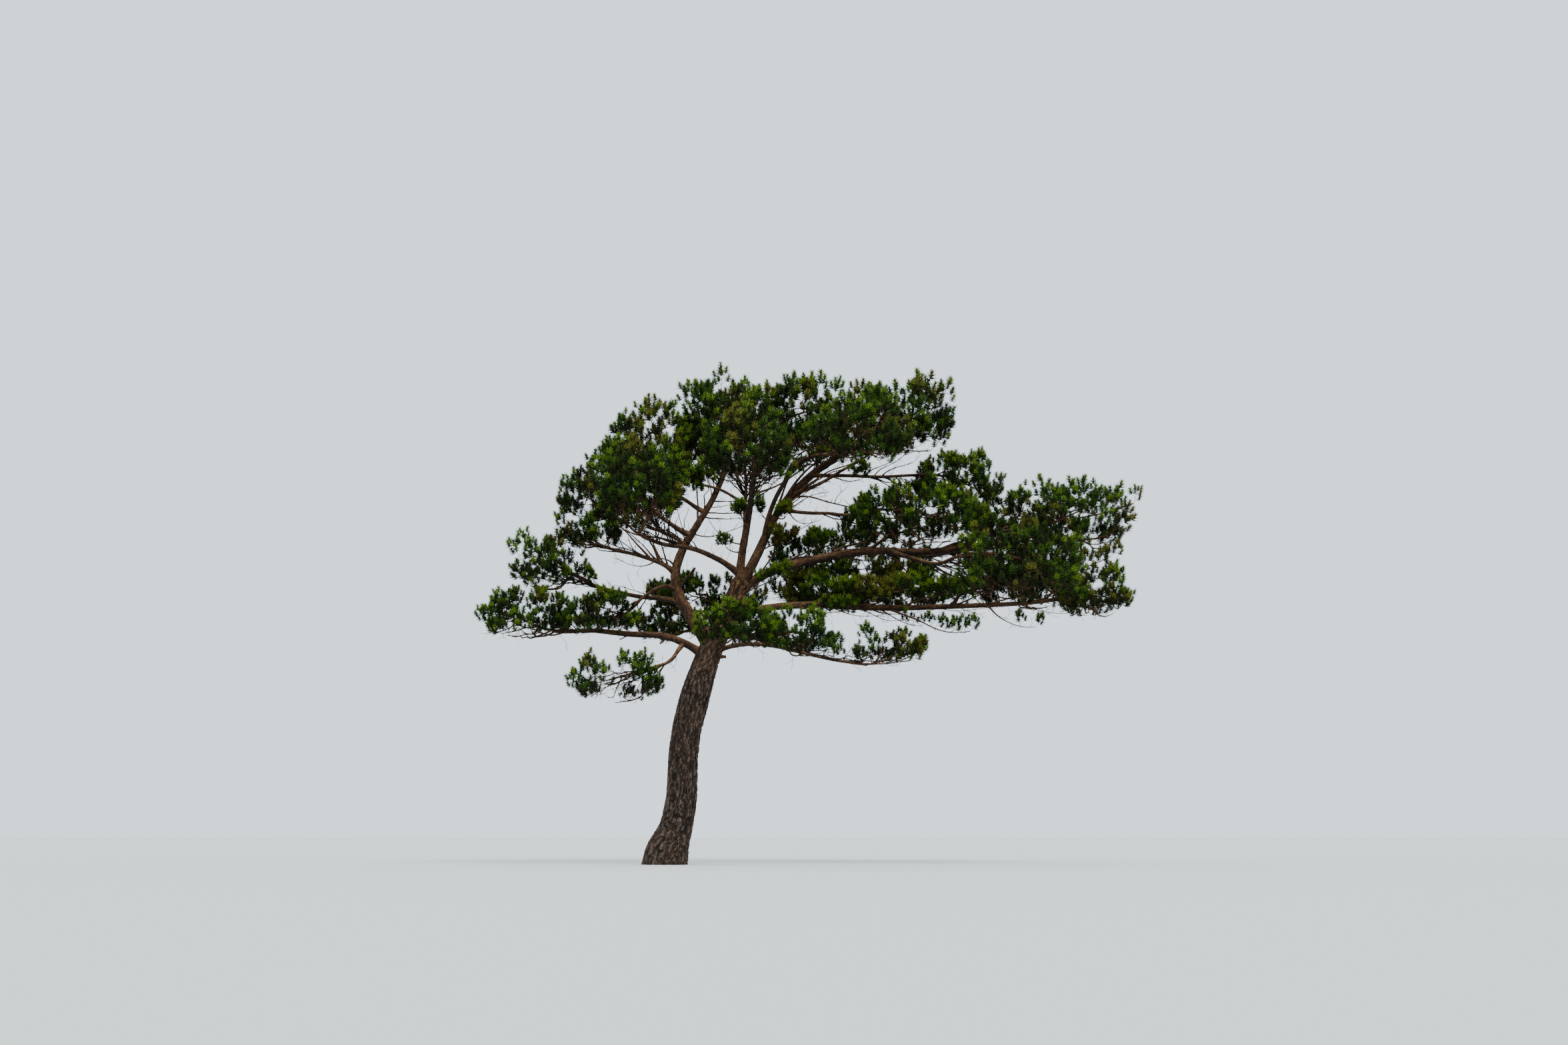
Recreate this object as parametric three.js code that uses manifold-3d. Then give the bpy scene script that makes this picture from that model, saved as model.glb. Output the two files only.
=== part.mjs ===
// A windswept pine: a leaning trunk, its boughs, and the masses of needles that they carry.
// Millimetres, +Z up. The origin is the centre of the flat cut where the trunk meets the ground,
// the crown is swept towards +X, and -Y faces the viewer. Every bough and every mass is a solid
// of its own, a small gap clear of the next one.
import * as THREE from 'three';
import { mergeVertices } from 'three/addons/utils/BufferGeometryUtils.js';
import Module from 'manifold-3d';

const wasm = await Module();
wasm.setup();

// How the tables below are read. They give x and z as the front view shows them in the trunk's
// plane, and a thing that lies y behind or in front of that plane is moved along its line of
// sight from EYE, so that the outline stays the one that is seen.
const EYE = { x: 1402, y: -26100, z: 370 };
const CLEAR = 0.3; // between two solids that meet
const CUT_CLEAR = 0.35; // taken off a bough round the limb that carries it
const SLIVER = { bough: 0.05, mass: 0.2 }; // edges shorter than this are closed up after a join
const TWIG_CLEAR = 1; // between a mass's twigs and everything else

// The trunk's axis and thickness at each height, from the ground up to the fork in the crown.
const TRUNK = [
  { z: 0, x: 0, y: 0, thick: 500 },
  { z: 170, x: 23, y: 4, thick: 490 },
  { z: 300, x: 70, y: 8, thick: 430 },
  { z: 470, x: 126, y: 10, thick: 378 },
  { z: 810, x: 184, y: 14, thick: 358 },
  { z: 1240, x: 200, y: 10, thick: 347 },
  { z: 1560, x: 235, y: 0, thick: 343 },
  { z: 1890, x: 313, y: -10, thick: 350 },
  { z: 2100, x: 370, y: -12, thick: 338 },
  { z: 2320, x: 440, y: -10, thick: 306 },
  { z: 2550, x: 522, y: 0, thick: 282 },
  { z: 2850, x: 660, y: 15, thick: 250 },
  { z: 3150, x: 795, y: 25, thick: 225 },
  { z: 3440, x: 915, y: 30, thick: 196 },
];
const TRUNK_SIDES = 14;
const TRUNK_RINGS = 20;
const ROOT_HEIGHT = 420; // the roots' ridges have died away above this
const ROOT_SWELL = 0.2; // of the trunk's radius, at the ground
const ROOT_RIDGES = [35, 100, 172, 238, 310]; // compass of each ridge, in degrees from +X
const ROOT_RIDGE_WIDTH = 26;

// A bough is one tapering limb. It leaves its parent (the trunk at a height in mm, another bough
// at a share of its length) and ends at its tip. It leaves and arrives at the given slopes, in
// degrees above the level line that runs from its foot to its tip, over 90 for one that starts
// away from its tip. The bend says how far both slopes carry.
const BEND = 0.36;
const BOUGHS = {
  leader_left: {
    on: 'trunk', at: 2600, tip: [700, 4770, 6], slope: [132, 70], thick: [165, 62], bend: 0.58,
  },
  leader_centre: { on: 'trunk', at: 3330, tip: [1060, 4860, -60], slope: [86, 86], thick: [112, 60] },
  leader_right: {
    on: 'trunk', at: 3230, tip: [2380, 5060, 60], slope: [60, 26], thick: [128, 58], bend: 0.53,
  },
  right_main: { on: 'trunk', at: 3210, tip: [3560, 3780, 150], slope: [44, 4], thick: [125, 78] },
  right_long: { on: 'trunk', at: 2930, tip: [4850, 3190, -50], slope: [16, 16], thick: [98, 48] },
  low_right: {
    on: 'trunk', at: 2430, tip: [2400, 2372, -350], slope: [46, -9], thick: [66, 34], bend: 0.28,
  },
  left_low: { on: 'trunk', at: 2440, tip: [-1170, 2770, -60], slope: [44, 0], thick: [104, 50] },
  front_right: { on: 'trunk', at: 2680, tip: [1330, 2730, -980], slope: [8, 14], thick: [62, 40] },
  front_centre: { on: 'trunk', at: 2780, tip: [840, 2800, -1180], slope: [2, 16], thick: [60, 38] },
  upper_left_back: {
    on: 'leader_left', at: 0.6, tip: [-180, 4100, 640], slope: [40, 40], thick: [54, 38],
  },
  left_mid: {
    on: 'leader_left', at: 0.2, tip: [-960, 3370, 150], slope: [17, 30], thick: [64, 42], bend: 0.33,
  },
  left_inner: {
    on: 'leader_left', at: 0.27, tip: [-580, 2925, -380], slope: [54, -36], thick: [48, 32], bend: 0.41,
  },
  hanging_left: { on: 'left_low', at: 0.2, tip: [-200, 2330, -560], slope: [-42, -4], thick: [48, 34] },
  upper_left_low: {
    on: 'leader_left', at: 0.42, tip: [-720, 3780, 50], slope: [49, 12], thick: [62, 36], bend: 0.25,
  },
  upper_left: { on: 'leader_left', at: 0.67, tip: [-300, 4430, -60], slope: [22, 58], thick: [64, 40] },
  upper_left_top: { on: 'leader_left', at: 0.8, tip: [-60, 4660, 90], slope: [34, 64], thick: [52, 36] },
  upper_left_front: {
    on: 'trunk', at: 3425, tip: [-315, 3930, -620], slope: [37, 19], thick: [78, 44], bend: 0.48,
  },
  upper_front: { on: 'leader_centre', at: 0.5, tip: [1020, 4640, -820], slope: [22, 44], thick: [54, 38] },
  upper_back: { on: 'leader_centre', at: 0.44, tip: [930, 4700, 820], slope: [26, 44], thick: [54, 38] },
  upper_front_right: {
    on: 'leader_right', at: 0.24, tip: [1960, 4930, -720], slope: [70, -7], thick: [64, 40], bend: 0.44,
  },
  upper_back_right: { on: 'leader_right', at: 0.5, tip: [1980, 4840, 860], slope: [30, 30], thick: [58, 38] },
  right_upper: { on: 'leader_right', at: 0.74, tip: [3120, 4680, 230], slope: [-2, 2], thick: [48, 34] },
  right_middle: { on: 'leader_right', at: 0.44, tip: [2360, 4220, -360], slope: [-3, 3], thick: [48, 34] },
  centre_back_right: { on: 'right_main', at: 0.2, tip: [1560, 3650, 740], slope: [14, 12], thick: [60, 40] },
  far_right_front: { on: 'right_main', at: 0.7, tip: [3420, 3650, -820], slope: [-6, 18], thick: [62, 40] },
  far_right_back: { on: 'right_main', at: 0.62, tip: [3500, 3740, 880], slope: [6, 14], thick: [62, 40] },
  low_back_right: { on: 'right_long', at: 0.24, tip: [1900, 3200, 520], slope: [4, 14], thick: [50, 34] },
  far_right_low: { on: 'right_long', at: 0.66, tip: [3640, 3350, -170], slope: [28, 24], thick: [46, 32] },
};
const BOUGH_SEED = 101;
const CROOK = 0.012; // seeded bends of a bough, as a share of its length
const COLLAR = { share: 0.35, reach: 150 }; // the swelling where a bough leaves its parent
const BOUGH_STEP = 330; // between two rings of a bough
const BOUGH_RINGS = [5, 12];
const STOUT = 90; // a bough thicker than this has one side more
const BOUGH_SIDES = 5;

// A mass of needles fills its own space: how wide and how high it looks from the front, and how
// deep it goes, from front to back. It grows from the tip of the bough of its own name, or from
// the trunk at a height and towards a compass direction.
const MASSES = {
  left_low: { wide: [-2340, -1050], high: [2720, 3390], deep: [-560, 520] },
  left_mid: { wide: [-1990, -900], high: [3290, 4120], deep: [-420, 700] },
  left_inner: { wide: [-1250, -280], high: [2770, 3340], deep: [-950, -60] },
  hanging_left: { wide: [-1260, 60], high: [1950, 2660], deep: [-1300, -150] },
  upper_left_low: { wide: [-1450, -450], high: [3800, 4330], deep: [-500, 560] },
  upper_left: { wide: [-1450, -300], high: [4140, 4960], deep: [-640, 600] },
  upper_left_top: { wide: [-930, 450], high: [4480, 5730], deep: [-640, 640] },
  upper_left_front: { wide: [-950, 300], high: [4140, 5240], deep: [-1800, -500] },
  upper_left_back: { wide: [-1150, 330], high: [4050, 5350], deep: [480, 2000] },
  leader_left: { wide: [30, 1150], high: [4780, 6090], deep: [-560, 640] },
  leader_centre: { wide: [900, 2380], high: [4880, 6020], deep: [-600, 600] },
  leader_right: { wide: [2130, 3640], high: [4990, 6020], deep: [-640, 640] },
  upper_front: { wide: [300, 1700], high: [4580, 5640], deep: [-1900, -480] },
  upper_front_right: { wide: [1550, 3050], high: [4870, 5790], deep: [-1850, -500] },
  upper_back: { wide: [230, 1700], high: [4700, 5880], deep: [480, 2050] },
  upper_back_right: { wide: [1550, 3120], high: [4860, 5880], deep: [500, 2050] },
  right_upper: { wide: [2850, 4180], high: [4340, 5020], deep: [-420, 860] },
  right_middle: { wide: [2080, 3950], high: [3880, 4640], deep: [-1000, 300] },
  right_main: { wide: [3450, 5800], high: [3800, 4720], deep: [-620, 760] },
  right_long: { wide: [4550, 5680], high: [2960, 3720], deep: [-620, 620] },
  far_right_low: { wide: [3350, 5150], high: [3070, 3780], deep: [-760, 620] },
  far_right_front: { wide: [3350, 5100], high: [3170, 4250], deep: [-1800, -560] },
  far_right_back: { wide: [3400, 5200], high: [3330, 4450], deep: [560, 2050] },
  centre_back_right: { wide: [1050, 3250], high: [3370, 4070], deep: [520, 1980] },
  low_back_right: { wide: [1180, 3650], high: [3040, 3660], deep: [-300, 1500] },
  front_right: { wide: [1100, 2100], high: [2500, 3110], deep: [-1900, -660] },
  low_right: { wide: [1860, 3200], high: [2420, 2910], deep: [-900, 160] },
  front_centre: { wide: [280, 1450], high: [2600, 3220], deep: [-2100, -700] },
  centre_back: { wide: [-350, 1300], high: [2960, 3540], deep: [260, 1800], on: 3060, compass: 95 },
  low_back: { wide: [-450, 520], high: [2690, 3140], deep: [200, 1500], on: 2700, compass: 108 },
};
const MASS_SEED = 7001;
const UNDERSIDE = 0.6; // a mass is flatter below its middle than above it, in this ratio
const SPACE_POWER = 2.5; // 2 would make the space an ellipsoid, and more fills its corners
const SPRAYS_PER_SQUARE_METRE = 1.9; // over the skin of a mass
const FEWEST_SPRAYS = 6;
const GOLDEN_ANGLE = Math.PI * (3 - Math.sqrt(5)); // deals the sprays out evenly
const SCATTER = 0.35; // how far a spray strays from its even place
const SHELL = [0.84, 1]; // how far out the sprays' points sit, as shares of the space
const STEM_BEYOND = 0.45; // a stem passes the middle of its space by this share of its way there
const STEM_SIDES = 4;
const SPRING_STEP = 115; // between the places of a stem or twig where others may spring
const SPRINGS = 2; // twigs at one such place
const SPRING_TRIES = 7; // places that are tried for one twig
const START_SHIFT = 0.006; // two twigs at one place start this share of their length apart
const PATH_BIAS = 0.4; // a twig springs near the stem's foot rather than from a far tip
const TURN_BIAS = 0.25; // and on from a twig rather than back along it
const SAG = 0.14; // a twig hangs by this share of its length before it turns up
const TWIG_STEP = 420; // a longer twig gets a ring at its middle
const TWIG_RADIUS = 8; // of the last twig, under its spray
const LIFT = 0.55; // sprays point outwards and this much upwards

// A spray: a slim three-sided core that some needles stand out of, each the size of a tuft.
const SPRAY_LENGTH = 400;
const SPRAY_SIZES = [0.8, 1.25]; // smaller in a small mass
const SPACE_OF_A_FULL_SPRAY = 400; // the least half size of a mass whose sprays are full size
const CORE = [{ at: 0.26, radius: 56 }, { at: 0.62, radius: 46 }]; // its rings, by share of its length
const TWIG_SIDES = 3;
const NEEDLE = 190;
const NEEDLE_LEAN = 0.55; // forwards, beside each step outwards
const SPACE_MARGIN = 1.12; // a needle at the side of a spray may pass the space's skin by this ratio
const TRIES = [1, 0.86, 0.72]; // a spray that doesn't fit is tried again further in and smaller

const bark = () => new THREE.MeshStandardMaterial({ color: 0x6b6157, roughness: 0.9, metalness: 0 });
const upperBark = () => new THREE.MeshStandardMaterial({ color: 0x7c6149, roughness: 0.85, metalness: 0 });
const needleGreen = () => new THREE.MeshStandardMaterial({ color: 0x44562a, roughness: 0.6, metalness: 0 });

const radians = THREE.MathUtils.degToRad;
const UP = new THREE.Vector3(0, 0, 1);

// A point of the tables, put at its depth y along the line of sight.
function place(x, z, y) {
  const share = 1 - y / EYE.y;
  return new THREE.Vector3(EYE.x + (x - EYE.x) * share, y, EYE.z + (z - EYE.z) * share);
}

// A small generator of repeatable numbers from 0 to 1.
function seeded(seed) {
  let state = seed;
  return () => {
    state = (1664525 * state + 1013904223) % 4294967296;
    return state / 4294967296;
  };
}

function mix(from, to, share) {
  return from + (to - from) * share;
}

// The rings that a tube is hung on: points, with two directions across that don't twist. The
// first ring may be turned to face a given way.
function ringsAlong(points, radii, first = null) {
  const rings = [];
  let side = null;
  points.forEach((point, i) => {
    const before = points[Math.max(i - 1, 0)];
    const after = points[Math.min(i + 1, points.length - 1)];
    const ahead = first && i === 0 ? first : after.clone().sub(before).normalize();
    side = side ?? (Math.abs(ahead.z) > 0.9 ? new THREE.Vector3(1, 0, 0) : UP.clone());
    side = side.clone().addScaledVector(ahead, -side.dot(ahead)).normalize();
    const across = ahead.clone().cross(side);
    rings.push({ point, ahead, side, across, radius: radii[i] });
  });
  return rings;
}

// A closed tube over the rings: a cylinder, or a cone if it ends in a point, that is carried
// ring by ring to its place. The swell may change the radius by height and compass.
function tube(rings, sides, pointed = false, swell = () => 1) {
  const steps = rings.length - 1;
  const form = new THREE.CylinderGeometry(pointed ? 0 : 1, 1, 1, sides, steps);
  const spots = form.attributes.position;
  for (let i = 0; i < spots.count; i += 1) {
    const ring = rings[Math.round((spots.getY(i) + 0.5) * steps)];
    const outward = ring.across.clone().multiplyScalar(spots.getX(i));
    outward.addScaledVector(ring.side, spots.getZ(i));
    if (outward.length() > 1e-9) {
      outward.setLength(ring.radius);
      outward.multiplyScalar(swell(ring.point, outward));
    }
    spots.setXYZ(i, ...ring.point.clone().add(outward).toArray());
  }
  return shared(form);
}

// Only positions, with the vertices of neighbouring faces shared.
function shared(geometry) {
  geometry.deleteAttribute('normal');
  geometry.deleteAttribute('uv');
  return mergeVertices(geometry, 1e-4);
}

function solidOf(geometry) {
  const vertProperties = new Float32Array(geometry.attributes.position.array);
  const triVerts = new Uint32Array(geometry.index.array);
  return new wasm.Manifold(new wasm.Mesh({ numProp: 3, vertProperties, triVerts }));
}

// The largest closed body of a solid, without slivers: loose scraps and sealed hollows go.
function largest(solid, sliver) {
  const clean = solid.simplify(sliver);
  return clean.decompose().reduce((best, next) => (next.volume() > best.volume() ? next : best));
}

function geometryOf(solid) {
  const { vertProperties, triVerts } = solid.getMesh();
  const geometry = new THREE.BufferGeometry();
  geometry.setAttribute('position', new THREE.BufferAttribute(vertProperties, 3));
  geometry.setIndex(new THREE.BufferAttribute(triVerts, 1));
  return geometry;
}

// True where a solid is still one closed body once its vertices are rounded: every edge has two
// faces, and nothing has come loose.
function closes(solid) {
  const geometry = mergeVertices(geometryOf(solid), 1e-3);
  const corners = geometry.index.array;
  const uses = new Map();
  for (let i = 0; i < corners.length; i += 3) {
    for (let k = 0; k < 3; k += 1) {
      const edge = [corners[i + k], corners[i + ((k + 1) % 3)]].sort((a, b) => a - b).join(' ');
      uses.set(edge, (uses.get(edge) ?? 0) + 1);
    }
  }
  return [...uses.values()].every((count) => count === 2) && solidOf(geometry).decompose().length === 1;
}

function meshOf(name, solid, material) {
  const geometry = geometryOf(solid);
  geometry.computeVertexNormals();
  const mesh = new THREE.Mesh(geometry, material);
  mesh.name = name;
  return mesh;
}

function boxesMeet(a, b) {
  return [0, 1, 2].every((i) => a.min[i] - 1 < b.max[i] && b.min[i] - 1 < a.max[i]);
}

// True where a solid keeps its gap to each of the others.
function clearOf(solid, others) {
  const box = solid.boundingBox();
  return others.every((other) => !boxesMeet(box, other.boundingBox())
    || solid.minGap(other, 2 * TWIG_CLEAR) > TWIG_CLEAR);
}

// The ridges of the roots swell the trunk's foot.
function rootSwell(point, outward) {
  const height = point.z + outward.z;
  const share = Math.max(0, 1 - height / ROOT_HEIGHT) ** 1.6;
  const compass = THREE.MathUtils.radToDeg(Math.atan2(outward.y, outward.x));
  const ridge = ROOT_RIDGES.map((at) => {
    const off = Math.abs(((compass - at + 540) % 360) - 180);
    return Math.exp(-((off / ROOT_RIDGE_WIDTH) ** 2));
  });
  return 1 + ROOT_SWELL * share * (Math.max(...ridge) - 0.25);
}

// The trunk's axis and radius at a share of its stations, from one smooth curve.
const trunkCurve = new THREE.CatmullRomCurve3(
  TRUNK.map((at) => new THREE.Vector3(at.x, at.y, at.z)), false, 'catmullrom', 0.5);
function trunkAt(share) {
  const spot = share * (TRUNK.length - 1);
  const station = Math.min(Math.floor(spot), TRUNK.length - 2);
  const thick = mix(TRUNK[station].thick, TRUNK[station + 1].thick, spot - station);
  return { point: trunkCurve.getPoint(share), radius: thick / 2 };
}

// The share of the trunk's stations that lies at a height.
function trunkShare(height) {
  let low = 0;
  let high = 1;
  for (let i = 0; i < 40; i += 1) {
    const middle = (low + high) / 2;
    if (trunkCurve.getPoint(middle).z < height) low = middle;
    else high = middle;
  }
  return low;
}

// The trunk's solid. Its first ring lies level, so that the cut at the ground is flat, and the
// second argument makes it thicker, for cutting its boughs clear.
function trunkSolid(extra = 0) {
  const points = [];
  const radii = [];
  for (let i = 0; i <= TRUNK_RINGS; i += 1) {
    const at = trunkAt(i / TRUNK_RINGS);
    points.push(at.point);
    radii.push(at.radius + extra);
  }
  points[points.length - 1].addScaledVector(UP, extra);
  const rings = ringsAlong(points, radii);
  rings[0] = { ...rings[0], side: new THREE.Vector3(1, 0, 0), across: new THREE.Vector3(0, 1, 0) };
  return solidOf(tube(rings, TRUNK_SIDES, false, rootSwell));
}

// A bough's curve and radius: a cubic curve with the two slopes, small seeded bends that die
// away at both ends, and a collar at its foot.
function limbOf(name, order) {
  const row = BOUGHS[name];
  const foot = row.on === 'trunk'
    ? trunkAt(trunkShare(row.at)).point
    : limbs[row.on].pointAt(row.at);
  const tip = place(row.tip[0], row.tip[1], row.tip[2]);
  const length = foot.distanceTo(tip);
  const level = tip.clone().sub(foot).setZ(0).normalize();
  const handles = row.slope.map((slope) => level.clone().multiplyScalar(Math.cos(radians(slope)))
    .addScaledVector(UP, Math.sin(radians(slope))).multiplyScalar(length * (row.bend ?? BEND)));
  const [leave, arrive] = [foot.clone().add(handles[0]), tip.clone().sub(handles[1])];
  const curve = new THREE.CubicBezierCurve3(foot, leave, arrive, tip);
  const next = seeded(BOUGH_SEED + order);
  const bends = [1, 2, 3, 4].map((waves) => {
    const size = (CROOK * length) / Math.sqrt(waves);
    return new THREE.Vector3(next() - 0.5, next() - 0.5, next() - 0.5).multiplyScalar(2 * size);
  });
  const pointAt = (share) => bends.reduce(
    (point, bend, i) => point.addScaledVector(bend, Math.sin(Math.PI * (i + 1) * share)),
    curve.getPoint(share));
  const radiusAt = (share) => {
    const collar = 1 + COLLAR.share * Math.exp(-(((share * length) / COLLAR.reach) ** 2));
    return (mix(row.thick[0], row.thick[1], share ** 0.8) / 2) * collar;
  };
  return { name, length, pointAt, radiusAt, thick: row.thick };
}

function limbSolid(limb, extra = 0) {
  const count = THREE.MathUtils.clamp(Math.round(limb.length / BOUGH_STEP), ...BOUGH_RINGS);
  const points = [];
  const radii = [];
  for (let i = 0; i <= count; i += 1) {
    points.push(limb.pointAt(i / count));
    radii.push(limb.radiusAt(i / count) + extra);
  }
  const rings = ringsAlong(points, radii);
  rings[count].point = rings[count].point.clone().addScaledVector(rings[count].ahead, extra);
  return solidOf(tube(rings, BOUGH_SIDES + (limb.thick[0] > STOUT ? 1 : 0)));
}

// The space of a mass: its middle and half sizes, less below the middle than above it.
function spaceOf(row) {
  const depth = (row.deep[0] + row.deep[1]) / 2;
  const share = 1 - depth / EYE.y;
  const middle = mix(row.high[0], row.high[1], UNDERSIDE / (1 + UNDERSIDE));
  return {
    centre: place((row.wide[0] + row.wide[1]) / 2, middle, depth),
    x: ((row.wide[1] - row.wide[0]) / 2) * share,
    y: (row.deep[1] - row.deep[0]) / 2,
    above: (row.high[1] - middle) * share,
    below: (middle - row.high[0]) * share,
  };
}

// The length of a direction by which the space is round: 1 on its skin.
function roundLength(x, y, z) {
  const sum = Math.abs(x) ** SPACE_POWER + Math.abs(y) ** SPACE_POWER + Math.abs(z) ** SPACE_POWER;
  return sum ** (1 / SPACE_POWER);
}

function spacePoint(space, direction, share) {
  const height = direction.z > 0 ? space.above : space.below;
  const out = share / roundLength(direction.x, direction.y, direction.z);
  return new THREE.Vector3(
    space.centre.x + direction.x * out * space.x,
    space.centre.y + direction.y * out * space.y,
    space.centre.z + direction.z * out * height);
}

// How far out a point is: 1 on the skin of the space.
function reachIn(space, point) {
  const off = point.clone().sub(space.centre);
  const height = off.z > 0 ? space.above : space.below;
  return roundLength(off.x / space.x, off.y / space.y, off.z / height);
}

function sprayCount(space) {
  const high = (space.above + space.below) / 2;
  const skin = (4 * (space.x * space.y + space.x * high + space.y * high)) / 1e6;
  return Math.max(FEWEST_SPRAYS, Math.round(skin * SPRAYS_PER_SQUARE_METRE));
}

// Where the sprays of a mass point to: dealt out evenly over its skin, a little scattered.
function sprayTips(space, count, next) {
  const turn = next() * Math.PI * 2;
  const tips = [];
  for (let i = 0; i < count; i += 1) {
    const height = 1 - (2 * (i + 0.5)) / count;
    const around = turn + i * GOLDEN_ANGLE;
    const level = Math.sqrt(1 - height * height);
    const direction = new THREE.Vector3(level * Math.cos(around), level * Math.sin(around), height);
    direction.x += (next() - 0.5) * SCATTER;
    direction.y += (next() - 0.5) * SCATTER;
    direction.z += (next() - 0.5) * SCATTER;
    tips.push({ direction: direction.normalize(), share: mix(SHELL[0], SHELL[1], next()) });
  }
  return tips;
}

// A spray towards one point of the skin: its root, its axis and its size.
function sprayAt(space, tip, size, pull) {
  const top = spacePoint(space, tip.direction, tip.share * pull);
  const axis = top.clone().sub(space.centre).normalize().addScaledVector(UP, LIFT).normalize();
  return { root: top.addScaledVector(axis, -SPRAY_LENGTH * size * pull), axis, size: size * pull };
}

// The places on the twigs grown so far that a new one springs from most easily, the best first.
function springsFor(nodes, root) {
  const open = nodes.filter((node) => node.springs < SPRINGS).map((node) => {
    const way = root.clone().sub(node.point);
    const far = way.length();
    const turn = 1 - way.normalize().dot(node.ahead);
    return { node, far, cost: far * (1 + TURN_BIAS * turn) + PATH_BIAS * node.path };
  });
  return open.sort((a, b) => a.cost - b.cost).slice(0, SPRING_TRIES);
}

// The points of a twig from a node to a spray's root: it sags, then turns up to it.
function twigPoints(node, root, far) {
  const steps = far > TWIG_STEP ? 2 : 1;
  const start = node.point.clone().addScaledVector(root, START_SHIFT).divideScalar(1 + START_SHIFT);
  const middle = start.clone().lerp(root, 0.5).addScaledVector(node.ahead, far * 0.12);
  middle.z -= far * SAG;
  const curve = new THREE.QuadraticBezierCurve3(start, middle, root);
  const points = [];
  for (let i = 0; i <= steps; i += 1) points.push(curve.getPoint(i / steps));
  return points;
}

// The points of a mass's stem, from its foot through the middle of its space.
function stemPoints(foot, space) {
  const way = space.centre.clone().sub(foot.point);
  const end = space.centre.clone().addScaledVector(way, STEM_BEYOND);
  const middle = foot.point.clone().addScaledVector(foot.ahead, way.length() * 0.7);
  const curve = new THREE.QuadraticBezierCurve3(foot.point, middle, end);
  const steps = Math.max(3, Math.round(foot.point.distanceTo(end) / TWIG_STEP) + 1);
  const points = [];
  for (let i = 0; i <= steps; i += 1) points.push(curve.getPoint(i / steps));
  return points;
}

// Adds the places along a stem or twig where others may spring, and returns those at its rings.
function addNodes(nodes, from, points, openEnd) {
  const ends = [];
  let parent = from;
  points.slice(1).forEach((point, i) => {
    const start = points[i];
    const ahead = point.clone().sub(start).normalize();
    const far = point.distanceTo(start);
    const count = Math.max(2, Math.round(far / SPRING_STEP));
    for (let k = 1; k <= count; k += 1) {
      const last = k === count && i === points.length - 2;
      nodes.push({
        point: start.clone().lerp(point, k / count),
        ahead,
        path: nodes[parent].path + far / count,
        springs: last && !openEnd ? SPRINGS : 0,
        parent,
        load: 0,
      });
      parent = nodes.length - 1;
    }
    ends.push(parent);
  });
  return ends;
}

// Raises a point over some faces of a form. The rule gives the point from the face's middle and
// the way that it looks.
function raisePoints(geometry, faces, rule) {
  const spots = Array.from(geometry.attributes.position.array);
  const index = Array.from(geometry.index.array);
  const corner = (i) => new THREE.Vector3(spots[3 * i], spots[3 * i + 1], spots[3 * i + 2]);
  faces.forEach((face) => {
    const [a, b, c] = index.slice(3 * face, 3 * face + 3);
    const [p, q, r] = [a, b, c].map(corner);
    const out = q.clone().sub(p).cross(r.clone().sub(p)).normalize();
    const tip = rule(p.clone().add(q).add(r).divideScalar(3), out);
    const top = spots.length / 3;
    spots.push(tip.x, tip.y, tip.z);
    index.splice(3 * face, 3, a, b, top);
    index.push(b, c, top, c, a, top);
  });
  const raised = new THREE.BufferGeometry();
  raised.setAttribute('position', new THREE.Float32BufferAttribute(spots, 3));
  raised.setIndex(index);
  return raised;
}

// One twig with its spray as a closed form: the twig's rings, then those of the spray's core.
function twigWithSpray(points, radii, axis, size) {
  const root = points[points.length - 1];
  const along = (share) => root.clone().addScaledVector(axis, SPRAY_LENGTH * share * size);
  const line = [...points, ...CORE.map((ring) => along(ring.at)), along(1)];
  const rings = ringsAlong(line, [...radii, ...CORE.map((ring) => ring.radius * size), 0]);
  const form = tube(rings, TWIG_SIDES, true);
  return raisePoints(form, coreFaces(rings.length - 1), (middle, out) => middle.add(
    out.addScaledVector(axis, NEEDLE_LEAN).setLength(NEEDLE * size)));
}

// The faces of the core that carry a needle: those of its point, and below it every second one.
// Side by side, a side of the tube has one face at the point and two at each step below.
function coreFaces(steps) {
  const faces = [];
  for (let side = 0; side < TWIG_SIDES; side += 1) {
    const first = side * (2 * steps - 1);
    faces.push(first);
    for (let step = 0; step < CORE.length; step += 1) {
      faces.push(first + 1 + 2 * step + ((side + step) % 2));
    }
  }
  return faces;
}

// A twig to a spray, or null where its spray would leave the space, or where it would touch
// another solid or cut through a twig that doesn't carry it.
function fitTwig(space, nodes, twigs, spray, others) {
  for (const spring of springsFor(nodes, spray.root)) {
    const points = twigPoints(spring.node, spray.root, spring.far);
    const trial = twigWithSpray(points, points.map(() => TWIG_RADIUS * 1.5), spray.axis, spray.size);
    const spots = trial.attributes.position;
    for (let i = points.length * TWIG_SIDES; i < spots.count; i += 1) {
      const spot = new THREE.Vector3().fromBufferAttribute(spots, i);
      if (reachIn(space, spot) > SPACE_MARGIN) return null;
    }
    const solid = solidOf(trial);
    const at = nodes.indexOf(spring.node);
    const carries = (twig) => at >= twig.first && at <= twig.last;
    const own = twigs.map((twig) => (carries(twig) ? twig.brush : twig.solid));
    if (clearOf(solid, others) && clearOf(solid, own)) {
      const brush = solid.trimByPlane(spray.axis.toArray(), spray.root.dot(spray.axis));
      return { spring: at, points, axis: spray.axis, size: spray.size, solid, brush };
    }
  }
  return null;
}

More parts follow.
